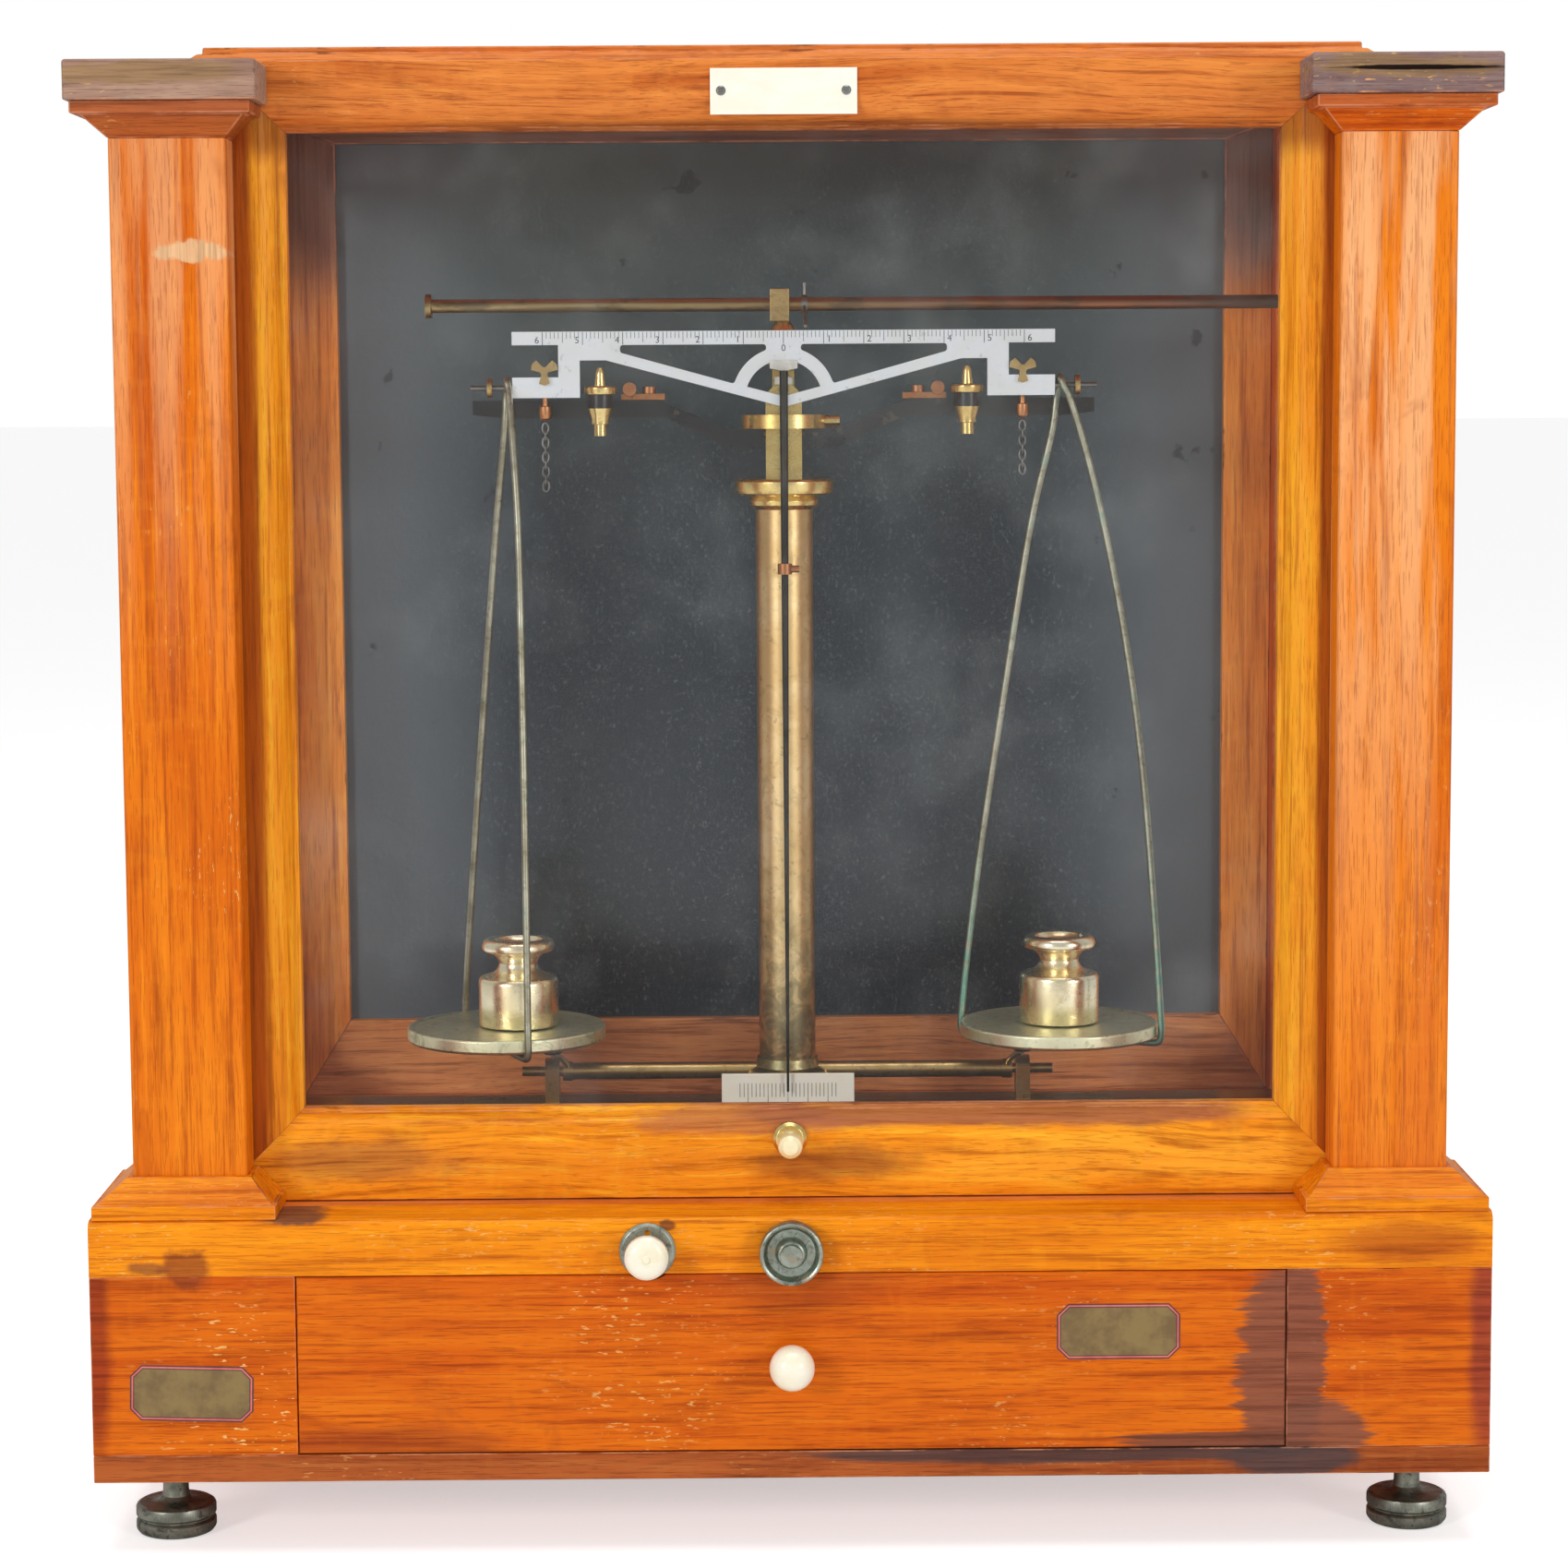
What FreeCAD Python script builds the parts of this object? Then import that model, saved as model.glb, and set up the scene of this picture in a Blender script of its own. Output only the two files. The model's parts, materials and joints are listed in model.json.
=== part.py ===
import FreeCAD, Part
import os, math
from FreeCAD import Vector as V

# Equal-arm analytical balance in a glazed mahogany case.
# Millimetres. +Z up, +Y to the back, +X to the right of a person facing it.
# Origin: centre of the overall footprint, at the level the feet stand on.

# ---------------- driving dimensions ----------------
CASE_W = 420.0        # base width
BASE_D = 240.0        # base depth
D0 = 112.5            # distance from the base front face to the origin (and to the column axis)
BASE_Z0, BASE_Z1 = 23.0, 103.0
RAIL_Z = 86.0         # underside of the top rail
DR_W, DR_Z0, DR_Z1 = 297.0, 31.3, 86.0   # drawer opening
FRONT_T = 20.0
PIL_X0, PIL_X1 = 163.5, 198.0            # front pillars
PIL_D0, PIL_D1 = 11.0, 46.0
PIL_TOP = 423.0
CAP_TOP = 445.0
SASH_X, SASH_Z0, SASH_Z1 = 169.5, 103.4, 446.4
SASH_D0, SASH_D1 = 26.0, 39.0
OPEN_X, OPEN_Z0, OPEN_Z1 = 149.0, 130.4, 426.0
ROOF_Z0, ROOF_Z1 = 440.0, 452.7
BACK_D = 200.0        # front face of the back frame
BOARD_Z = 115.0       # top of the raised instrument board
BEAM_D = 98.5         # mid-plane of the beam
BEAM_T = 3.0
PIVOT_Z = 353.5       # central knife edge
PIN_Z = 350.0         # end pins
PAN_R, PAN_T, PAN_TOP = 32.0, 4.6, 145.0
PAN_XL, PAN_XR = -91.0, 88.0
BTN_X = -43.0         # pan-arrest button
KNOB_Z = 121.5        # sash lift knob
PTR_D = 94.6          # depth of the pointer, clear of the column cap
SHAFT_Z = 127.0       # pan-arrest shaft
SPIN_Z = 93.0         # height of both arrest controls
ROD_Z, ROD_D = 376.5, 120.5              # rider rod
FIT = 0.06            # radial clearance of running fits

os.makedirs("parts", exist_ok=True)

def out(name, shape):
    shape.exportStep("parts/%s.step" % name)

def box(x0, x1, d0, d1, z0, z1):
    return Part.makeBox(x1 - x0, d1 - d0, z1 - z0, V(x0, d0 - D0, z0))

def mir(s):
    return s.mirror(V(0, 0, 0), V(1, 0, 0))

def both(s):
    return Part.makeCompound([s, mir(s)])

def group(*s):
    return Part.makeCompound(list(s))

def poly(pts, dirv):
    w = Part.makePolygon([V(*p) for p in pts] + [V(*pts[0])])
    return Part.Face(w).extrude(V(*dirv))

def prism_y(pts, d0, d1):      # points (x, z)
    return poly([(x, d0 - D0, z) for x, z in pts], (0, d1 - d0, 0))

def prism_x(pts, x0, x1):      # points (d, z)
    return poly([(x0, d - D0, z) for d, z in pts], (x1 - x0, 0, 0))

def prism_z(pts, z0, z1):      # points (x, d)
    return poly([(x, d - D0, z0) for x, d in pts], (0, 0, z1 - z0))

def cyl_y(x, z, r, d0, d1):
    return Part.makeCylinder(r, d1 - d0, V(x, d0 - D0, z), V(0, 1, 0))

def cyl_x(d, z, r, x0, x1):
    return Part.makeCylinder(r, x1 - x0, V(x0, d - D0, z), V(1, 0, 0))

def cyl_z(x, d, r, z0, z1):
    return Part.makeCylinder(r, z1 - z0, V(x, d - D0, z0), V(0, 0, 1))

def rev_z(x, d, prof):         # prof: (r, z) closed by the axis
    pts = [V(x + r, d - D0, z) for r, z in prof]
    w = Part.makePolygon(pts + [pts[0]])
    return Part.Face(w).revolve(V(x, d - D0, 0), V(0, 0, 1), 360)

def rev_y(x, z, prof):         # prof: (r, d)
    pts = [V(x + r, d - D0, z) for r, d in prof]
    w = Part.makePolygon(pts + [pts[0]])
    return Part.Face(w).revolve(V(x, 0, z), V(0, 1, 0), 360)

def rod(pts, r):
    # round wire through points (x, d, z): straight runs with ball joints, fused
    s = None
    P = [V(x, d - D0, z) for x, d, z in pts]
    for i in range(len(P) - 1):
        a, b = P[i], P[i + 1]
        c = Part.makeCylinder(r, (b - a).Length, a, b - a)
        s = c if s is None else s.fuse(c)
        if i:
            s = s.fuse(Part.makeSphere(r, a))
    return s.removeSplitter()

def fillet(s, r, test):
    es = []
    for e in s.Edges:
        m = e.valueAt((e.FirstParameter + e.LastParameter) / 2)
        if test(e, m):
            es.append(e)
    return s.makeFillet(r, es) if es else s

def front_edge(z, d, tol=0.2):
    return lambda e, m: abs(m.z - z) < tol and abs(m.y - (d - D0)) < tol

# ---------------- base ----------------
HW = CASE_W / 2
top_rail = box(-HW, HW, 0, FRONT_T, RAIL_Z, BASE_Z1)
top_rail = fillet(top_rail, 3.0, lambda e, m: abs(m.z - BASE_Z1) < .1 and (abs(m.y + D0) < .1))
top_rail = top_rail.cut(cyl_y(BTN_X, SPIN_Z, 2.4, -1, FRONT_T + 1)).cut(cyl_y(0, SPIN_Z, 2.5 + FIT, -1, FRONT_T + 1))
bottom_rail = box(-HW, HW, 0, FRONT_T, BASE_Z0, DR_Z0)
end_l = box(-HW, -DR_W / 2, 0, FRONT_T, DR_Z0, RAIL_Z)
out("base_front_frame", group(top_rail, bottom_rail, end_l, mir(end_l)))

side = box(198, HW, FRONT_T, 228, BASE_Z0, BASE_Z1)
back = box(-HW, HW, 228, BASE_D, BASE_Z0, BASE_Z1)
bottom = box(-198, 198, FRONT_T, 228, BASE_Z0, 29).cut(cyl_z(-190, 28, 3.6, 20, 30)).cut(cyl_z(190, 28, 3.6, 20, 30))
out("base_carcass", group(side, mir(side), back, bottom))

floor = box(-198, 198, FRONT_T, 228, 97, BASE_Z1)
floor = floor.cut(cyl_z(0, D0, 7.6, 90, 110)).cut(box(-11.9, -8.1, D0 - 3.4, D0 + 8, 90, 110))
out("case_floor", floor)

run = box(148.2, 160, FRONT_T, 200, 29, 44).fuse(box(138, 148.2, FRONT_T, 200, 29, 31.3)).removeSplitter()
out("drawer_runners", both(run))

# levelling feet: a fixed flared bush and a turning knurled disc on a stem
bush = rev_z(190, 28, [(3.0 + FIT, 19.6), (6.0, 19.6), (7.0, 20.6), (11.5, 21.8), (11.5, 23), (3.0 + FIT, 23)])
out("foot_bushes", both(bush))
foot = rev_z(190, 28, [(0, 0), (11.2, 0), (12.25, 1.0), (12.25, 3.9), (11.5, 4.4), (11.5, 5.0), (12.25, 5.5), (12.25, 8.4),
                       (11.2, 9.4), (6.0, 9.4), (4.2, 11), (3.9, 15), (4.4, 19.2), (3.0, 19.2), (3.0, 42), (0, 42)])
out("levelling_foot_right", foot)
out("levelling_foot_left", mir(foot))
rear = rev_z(185, 212, [(0, 0), (10, 0), (11, 1), (12, 23), (0, 23)])
out("rear_feet", both(rear))

# ---------------- drawer ----------------
df = box(-148.2, 148.2, 0, 15, 31.6, 85.7).cut(cyl_y(0, 59, 3.2, -1, 16))
df = fillet(df, 0.8, lambda e, m: abs(m.y + D0) < .05 and abs(e.Length) > 40)
# shallow reliefs in the top edge let the drawer pass under the two controls
df = df.cut(cyl_y(0, SPIN_Z, 10.2, -1, 16)).cut(cyl_y(BTN_X, SPIN_Z, 9.1, -1, 16))
out("drawer_front", df)
ds = box(139.5, 147.5, 15, 190, 31.6, 82)
db = box(-147.5, 147.5, 190, 198, 31.6, 78)
dbot = box(-139.5, 139.5, 15, 190, 34, 38)
out("drawer_box", group(ds, mir(ds), db, dbot))
kn = rev_y(0, 59, [(0, -15), (3.4, -14.4), (5.6, -12.6), (6.7, -9.8), (6.75, -7.2), (6.0, -4.4), (4.6, -2.2), (4.3, 0), (3.2, 0), (3.2, 14), (0, 14)])
out("drawer_knob", kn)

# ---------------- front pillars, capitals ----------------
slot = box(100, 170.3, SASH_D0 - .5, SASH_D1 + .5, 100, 460)      # path of the sash edge
pil = box(PIL_X0, PIL_X1, PIL_D0, PIL_D1, BASE_Z1, PIL_TOP)
pil = fillet(pil, 1.2, lambda e, m: abs(e.Length - (PIL_TOP - BASE_Z1)) < 1 and m.y < -D0 + 12)
pil = pil.cut(slot)
out("front_pillars", both(pil))

def frustum(x0, x1, d0, d1, z0, X0, X1, E0, E1, z1):
    a = Part.makePolygon([V(x0, d0 - D0, z0), V(x1, d0 - D0, z0), V(x1, d1 - D0, z0), V(x0, d1 - D0, z0), V(x0, d0 - D0, z0)])
    b = Part.makePolygon([V(X0, E0 - D0, z1), V(X1, E0 - D0, z1), V(X1, E1 - D0, z1), V(X0, E1 - D0, z1), V(X0, E0 - D0, z1)])
    return Part.makeLoft([a, b], True, True)

hole = box(PIL_X0, PIL_X1, PIL_D0, PIL_D1, 100, PIL_TOP)
fm = box(154, 209, 1, 56, BASE_Z1, 107.2).fuse(frustum(155, 208, 2, 55, 107.2, 162, 199.5, 9.5, 47.5, 114.5))
fm = fm.cut(hole).cut(slot).cut(box(171.9, 184.1, 45.9, 70, 100, 120)).cut(box(100, 171.95, SASH_D1, 70, 100, 120))
out("pillar_foot_mouldings", both(fm))

cm = frustum(163.5, 198, 11, 46, PIL_TOP, 157, 205, 4.5, 52.5, 429.6)
cm = cm.fuse(box(155.0, 207.5, 2.5, 54.5, 429.6, 433.3))
inner = box(100, 170.3, SASH_D1, 70, 420, 450)
cm = cm.cut(slot).cut(inner)
roofcut = box(0, 186.3, 39.7, 300, ROOF_Z0 - .2, 470)
slab = box(153, 209, 0.5, 56.5, 433.3, CAP_TOP)
slab = fillet(slab, 1.0, lambda e, m: m.z > CAP_TOP - .1 or abs(e.Length - (CAP_TOP - 433.3)) < .1)
slab = slab.cut(slot).cut(roofcut).cut(inner)
out("capitals", group(cm, mir(cm), slab, mir(slab)))

# ---------------- sash ----------------
# section of the sash moulding: w = distance outward from the sight edge, d = depth
PROF = [(0, SASH_D1), (0, 34.3), (1.2, 33.6), (2.0, 31.6), (3.6, 29.2), (5.8, 27.5), (8.5, 26.5), (11.5, 26.05), (14, 26.0)]

def sash_members():
    w_out = SASH_X - OPEN_X
    res = []
    # stile on the right: section in (x, d), run along z
    def stile():
        pts = [(OPEN_X + w, d) for w, d in PROF] + [(SASH_X, 26.0), (SASH_X, SASH_D1)]
        s = prism_z(pts, SASH_Z0, SASH_Z1)
        k = w_out
        region = prism_y([(OPEN_X, OPEN_Z0), (OPEN_X + k, OPEN_Z0 - k), (SASH_X + 5, OPEN_Z0 - k), (SASH_X + 5, OPEN_Z1 + k), (OPEN_X + k, OPEN_Z1 + k), (OPEN_X, OPEN_Z1)], 0, 80)
        return s.common(region)
    def rail(zin, sgn, zout):
        pts = [(d, zin + sgn * w) for w, d in PROF] + [(26.0, zout), (SASH_D1, zout)]
        s = prism_x(pts, -SASH_X, SASH_X)
        k = abs(zout - zin)
        m = w_out
        far = zin + sgn * (k + 1)
        region = prism_y([(-OPEN_X, zin), (-OPEN_X - m, zin + sgn * m), (-OPEN_X - m, far), (OPEN_X + m, far), (OPEN_X + m, zin + sgn * m), (OPEN_X, zin)], 0, 80)
        return s.common(region)
    st = stile()
    return [st, mir(st), rail(OPEN_Z0, -1, SASH_Z0), rail(OPEN_Z1, 1, SASH_Z1)]

sm = sash_members()
knob_hole = cyl_y(0, KNOB_Z, 2.2, 20, 36)
sm[2] = sm[2].cut(knob_hole)
# rebate for the pane, cut from the back
reb = box(-152, 152, 35.0, 37.0, 127.4, 429)
sm = [m.cut(reb) for m in sm]
out("sash_frame", group(*sm))
out("sash_glass", box(-152, 152, 35.0, 37.0, 127.4, 429))
sk = rev_y(0, KNOB_Z, [(0, 10.8), (2.2, 11.1), (3.5, 12.4), (3.8, 14.2), (3.7, 18), (3.2, 22), (3.0, 24.2), (0, 24.2)])
collar = rev_y(0, KNOB_Z, [(0, 24.2), (4.2, 24.2), (5.2, 25.0), (5.3, 26.0), (2.2, 26.0), (2.2, 34), (0, 34)])
out("sash_knob", group(sk, collar))
plate = box(-21.8, 21.8, 25.2, 26.0, 429.9, 443.5)
h1 = cyl_y(-18.6, 436.9, 1.0, 20, 30)
h2 = cyl_y(18.6, 436.9, 1.0, 20, 30)
plate = plate.cut(h1).cut(h2)
scr = rev_y(18.6, 436.9, [(0, 24.75), (1.0, 24.8), (1.5, 25.2), (1.0, 25.2), (1.0, 26), (0, 26)])
out("name_plate", group(plate, scr, mir(scr)))

# ---------------- case ----------------
def roof():
    a = box(-186, 186, 40, 235, ROOF_Z0, 443.8)
    b = frustum(-186, 186, 40, 235, 443.8, -177, 177, 49, 228, 450.6)
    c = box(-175.5, 175.5, 50.5, 226.5, 450.6, ROOF_Z1)
    return a.fuse(b).fuse(c).removeSplitter()
out("roof_board", roof())

post = box(169.5, 190, 190, 230, BASE_Z1, ROOF_Z0)
out("rear_posts", both(post))

# glazed sides: two stiles and two rails each, pane set between them
def side_frame(hole):
    x0, x1 = 172.0, 184.0
    st1 = box(x0, x1, 46, 60, BASE_Z1, 433)
    st2 = box(x0, x1, 176, 190, BASE_Z1, ROOF_Z0)
    r1 = box(x0, x1, 60, 176, BASE_Z1, 125)
    r2 = box(x0, x1, 60, 176, 424, ROOF_Z0)
    st1 = st1.cut(box(150, 212, 0, 57, 422.9, 460))
    return [st1, st2, r1, r2]
sf = side_frame(False)
out("side_frames", group(*(sf + [mir(s) for s in sf])))
gl = box(177, 179, 60, 176, 125, 424)
gr = gl.cut(cyl_x(ROD_D, ROD_Z, 6.0, 170, 190))
out("side_glass", group(mir(gl), gr))

# back frame, mitred, with the panel in its rebate
def back_frame():
    xo, zo0, zo1 = 169.5, BASE_Z1, ROOF_Z0
    xi, zi0, zi1 = 153.0, 129.6, 434.0
    d0, d1 = BACK_D, 214.0
    reb = box(-157.5, 157.5, 204.5, 208.5, 125, 438)
    def bev(pts):
        return prism_y(pts, d0, d1)
    L = bev([(-xo, zo0), (-xi, zi0), (-xi, zi1), (-xo, zo1)])
    B = bev([(-xo, zo0), (xo, zo0), (xi, zi0), (-xi, zi0)])
    T = bev([(-xo, zo1), (-xi, zi1), (xi, zi1), (xo, zo1)])
    return [m.cut(reb) for m in (L, mir(L), B, T)]
out("back_frame", group(*back_frame()))
out("back_panel", box(-157.5, 157.5, 204.5, 208.5, 125, 438))

ib = box(-169.5, 169.5, 70, 135, BASE_Z1, BOARD_Z)
ib = ib.cut(cyl_z(0, D0, 7.6, 100, 120)).cut(box(-11.9, -8.1, D0 - 3.4, D0 + 8, 100, 120))
out("instrument_board", ib)

# ---------------- column ----------------
cf = rev_z(0, D0, [(7.3, BOARD_Z), (13.5, BOARD_Z), (13.5, 126.2), (12.6, 127.6), (10.4, 128.6), (9.9, 131.5), (7.3, 131.5)])
cf = cf.cut(cyl_x(D0, SHAFT_Z, 2.75 + FIT, -20, 20))
cf = cf.cut(box(-11.9, -8.1, D0 - 5, D0 + 5, 110, 126.0))
out("column_foot", cf)
out("column_tube", cyl_z(0, D0, 9.2, 131.5, 310.6).cut(cyl_z(0, D0, 7.3, 130, 312)))
cc = rev_z(0, D0, [(2.5 + FIT, 310.6), (9.6, 310.6), (11.2, 312.0), (11.4, 313.4), (10.6, 315.0), (13.5, 315.0), (15.6, 315.8), (16.0, 317.0),
                   (16.0, 319.6), (15.4, 320.4), (2.5 + FIT, 320.4)])
out("column_cap", cc)

# post with a rounded head, slot for the cross pin, and a rear strap carrying the finial
pf = box(-5.8, 5.8, 105, 117.3, 320.4, 345.2).fuse(cyl_y(0, 345.2, 5.8, 105, 117.3))
pf = pf.cut(box(-8, 8, 100, 130, 350.5, 360))
strap = box(-3.5, 3.5, 117.3, 124, 320.4, 357)
pf = pf.fuse(strap).removeSplitter()
pf = pf.cut(cyl_z(0, D0, 2.5 + FIT, 315, 341))
pf = pf.cut(box(-10, 10, D0 - 1.7, D0 + 1.7, 330.2, 337.4))
agate = box(-3, 3, 105.5, 114.6, 350.5, 353.2)
out("beam_post", group(pf, agate))
fin = rev_z(0, ROD_D, [(0, 357), (4.6, 357), (5.6, 358), (5.6, 360.4), (5.0, 361.0), (5.6, 361.8), (5.5, 364), (4.8, 367), (3.6, 369.4), (2.4, 371), (0, 371)])
out("dome_nut", fin)
rb = box(-4.2, 2.0, 116.8, 124.2, 371, 381.5).cut(cyl_x(ROD_D, ROD_Z, 2.2 + FIT, -10, 10))
out("rider_rod_bracket", rb)

out("index_plate", box(-21.5, 21.5, 96.7, 98.2, BOARD_Z, 128.5))

bp = box(74.8, 79.4, D0 - 4.2, D0 + 4.2, BOARD_Z, 128.5).fuse(cyl_x(D0, SHAFT_Z + .2, 4.2, 74.8, 79.4))
bp = bp.fuse(box(74.8, 106, D0 - 6, D0 + 6, BOARD_Z, 117.2)).removeSplitter()
bp = bp.cut(cyl_x(D0, SHAFT_Z, 1.6 + FIT, 70, 90))
out("pan_arrest_brackets", both(bp))

pa_plate = rev_y(BTN_X, SPIN_Z, [(2.4, -1.2), (7.6, -1.2), (8.5, -.5), (8.5, 0), (2.4, 0)]).cut(cyl_y(BTN_X, SPIN_Z + 5.6, .9, -3, 2))
rbush = cyl_x(ROD_D, ROD_Z, 8.0, 179, 180.6).fuse(cyl_x(ROD_D, ROD_Z, 6.0, 177, 179)).fuse(cyl_x(ROD_D, ROD_Z, 8.0, 175.4, 177))
rbush = rbush.cut(cyl_x(ROD_D, ROD_Z, 2.2 + FIT, 170, 190))
out("spindle_bushes", group(pa_plate, rbush))

# ---------------- beam ----------------
bd0, bd1 = BEAM_D - BEAM_T / 2, BEAM_D + BEAM_T / 2
half = [(86.3, 367.7), (86.3, 363.5), (71.6, 363.5), (71.6, 353.3), (86.3, 353.3), (86.3, 346.8), (64.8, 346.8), (64.8, 358.6), (56.6, 358.6), (0, 343.5)]
outline = half + [(-x, z) for x, z in reversed(half[:-1])]
bm = prism_y(outline, bd0, bd1)
win = prism_y([(52.0, 363.4), (52.0, 361.0), (5.5, 348.1), (5.5, 363.4)], bd0 - 1, bd1 + 1).cut(cyl_y(0, 346, 16.5, bd0 - 2, bd1 + 2))
try:
    win = win.makeFillet(1.0, [e for e in win.Edges if abs(e.Length - (BEAM_T + 2)) < .01 and e.BoundBox.XLength < .01])
except Exception:
    pass
arch = cyl_y(0, 346, 12.3, bd0 - 1, bd1 + 1).common(prism_y([(-14, 350.6), (0, 346.9), (14, 350.6), (14, 362), (-14, 362)], bd0 - 1, bd1 + 1))
bm = bm.cut(win).cut(mir(win)).cut(arch)
knife = prism_y([(-4.4, 358.3), (4.4, 358.3), (4.4, 355.7), (1.6, 355.2), (0, PIVOT_Z), (-1.6, 355.2), (-4.4, 355.7)], bd0 - .6, 114.2)
bm = bm.cut(knife)
pin = cyl_x(BEAM_D, PIN_Z, 0.75, 83.5, 99.7)
bm = bm.cut(cyl_x(BEAM_D, PIN_Z, 0.75, 83.5, 90)).cut(cyl_x(BEAM_D, PIN_Z, 0.75, -90, -83.5))
clampstem = cyl_z(76, BEAM_D, 0.9, 344.2, 353.3)
bm = bm.cut(clampstem).cut(mir(clampstem))
out("beam_plate", bm)
out("centre_knife", knife)
# three-lobed clamp over each end knife: hub with three tapered lobes, stem down through the block
def lobe(a):
    c, s = math.cos(a), math.sin(a)
    p = [(.5, -.8), (3.9, -1.7), (4.5, 0), (3.9, 1.7), (.5, .8)]
    pts = [(76 + u * c - v * s, 355.2 + u * s + v * c) for u, v in p]
    return prism_y(pts, 95.4, 97.0)
cl = cyl_y(76, 355.2, 1.3, 95.0, 97.0)
for a in (90 + 60, 90 - 60, 270):
    cl = cl.fuse(lobe(math.radians(a)))
cl = cl.fuse(box(75.1, 76.9, 96.0, 98.5 + .9, 353.3, 355.6)).removeSplitter()
out("knife_clamps", both(cl))
# stem, copper nut and the eye of the small hook chain
nut = clampstem.fuse(cyl_z(76, BEAM_D, 2.0, 341.4, 344.2)).fuse(Part.makeSphere(1.9, V(76, BEAM_D - D0, 341.4)))
nut = nut.removeSplitter()
def links(n):
    L = []
    z = 339.5
    for i in range(n):
        t = Part.makeTorus(1.0, .32, V(0, 0, 0), V(1, 0, 0) if i % 2 else V(0, 1, 0))
        mtx = FreeCAD.Matrix()
        mtx.scale(1, 1, 1.75)
        t = t.transformGeometry(mtx)
        t.translate(V(0, BEAM_D - D0, z - 2.31 - i * 2.3))
        L.append(t)
    return L
lk = [nut, mir(nut)]
for n, x in ((9, -76.0), (7, 76.0)):
    for t in links(n):
        t.translate(V(x, 0, 0))
        lk.append(t)
out("hook_chains", group(*lk))
out("end_pins", both(pin))
bn = cyl_x(BEAM_D, PIN_Z, 3.1, 92.7, 94.3).cut(cyl_x(BEAM_D, PIN_Z, 0.81, 90, 96))
out("balance_nut_right", bn)
out("balance_nut_left", mir(bn))

pt = Part.makeCone(1.35, 1.15, 46, V(0, PTR_D - D0, 346), V(0, 0, -1)).fuse(Part.makeCylinder(1.35, 9, V(0, PTR_D - D0, 346), V(0, 0, 1)))
pt = pt.fuse(Part.makeCone(1.15, .75, 100, V(0, PTR_D - D0, 300), V(0, 0, -1))).fuse(Part.makeCone(.75, .4, 77, V(0, PTR_D - D0, 200), V(0, 0, -1)))
pt = pt.fuse(box(-1.1, 1.1, PTR_D, 97.0, 344.5, 354)).removeSplitter()
pt = pt.cut(knife)
out("pointer", pt)
pc = cyl_z(0, PTR_D, 2.3, 290.4, 293.8).cut(cyl_z(0, PTR_D, 1.14, 280, 300))
pc = pc.fuse(cyl_x(PTR_D, 292.1, 1.15, 2.0, 4.6)).removeSplitter()
out("pointer_collar", pc)

# ---------------- pan hangers ----------------
WR = 1.15
top = PIN_Z + 2.6
LF = [(-87.9, 96.5, 351.7), (-87.6, 95.9, 350.0), (-87.2, 94.6, 347), (-85.6, 88.5, 330), (-84.2, 83, 308), (-83.0, 75.5, 250), (-82.4, 70, 195), (-82.1, 66.6, 146), (-82.1, 66.4, 139.1), (-85.5, 73, 139.1), (-88.0, 79.5, 139.1)]
LB = [(-88.1, 100.5, 351.7), (-88.2, 101.1, 350.0), (-88.6, 101.4, 347), (-89.2, 101.5, 337), (-92.5, 107, 308), (-98, 115.5, 250), (-102.8, 122.5, 195), (-106.5, 128.3, 146), (-106.6, 128.5, 139.1), (-104.5, 123.5, 139.1), (-102, 118.5, 139.1)]
RF = [(88.3, 96.5, 351.7), (88.9, 95.9, 350.0), (90.6, 95.6, 346.5), (95.2, 95.4, 332), (101.2, 94.4, 308), (108.4, 92.6, 270), (113.8, 91.2, 230), (117.6, 90.2, 185), (120.0, 89.4, 146), (120.0, 89.3, 139.1), (113, 91, 139.1), (106, 92.5, 139.1)]
RB = [(87.9, 100.5, 351.7), (87.7, 101.1, 350.0), (87.2, 101.4, 347), (86.0, 101.5, 337), (79.6, 104.2, 308), (70.6, 107.3, 250), (62.6, 109.8, 195), (57.3, 111.5, 146), (57.2, 111.6, 139.1), (62, 110, 139.1), (67, 108.6, 139.1)]
def make_bow(xt, F, B):
    # one wire bent over the end pin; modelled as its two legs, which meet on top of the pin
    f = rod([(xt, BEAM_D, top)] + F, WR)
    b = rod([(xt, BEAM_D, top)] + B, WR)
    ball = Part.makeSphere(WR, V(xt, BEAM_D - D0, top))
    f = f.fuse(ball).removeSplitter()
    b = b.cut(f)
    return group(f, b)
out("bow_left", make_bow(-88, LF, LB))
out("bow_right", make_bow(88, RF, RB))
def pan(x):
    return rev_z(x, BEAM_D, [(0, PAN_TOP - PAN_T), (PAN_R - .8, PAN_TOP - PAN_T), (PAN_R, PAN_TOP - PAN_T + .8), (PAN_R, PAN_TOP - .5), (PAN_R - .6, PAN_TOP), (0, PAN_TOP)])
out("pan_left", pan(PAN_XL))
out("pan_right", pan(PAN_XR))
WP = [(0, 0), (12.4, 0), (12.85, .5), (12.85, 14.6), (12.2, 15.8), (10.6, 16.3), (8.2, 17.2), (6.4, 19.2), (6.2, 20.6), (7.4, 22.6),
      (9.2, 23.8), (11.4, 24.4), (11.7, 25.4), (11.2, 27.4), (9.8, 28.2), (7.6, 28.2), (7.2, 26.2), (0, 26.2)]
def weight(x):
    return rev_z(x, BEAM_D, [(r, PAN_TOP + z) for r, z in WP])
out("weight_left", weight(-87.0))
out("weight_right", weight(88.0))

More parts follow.
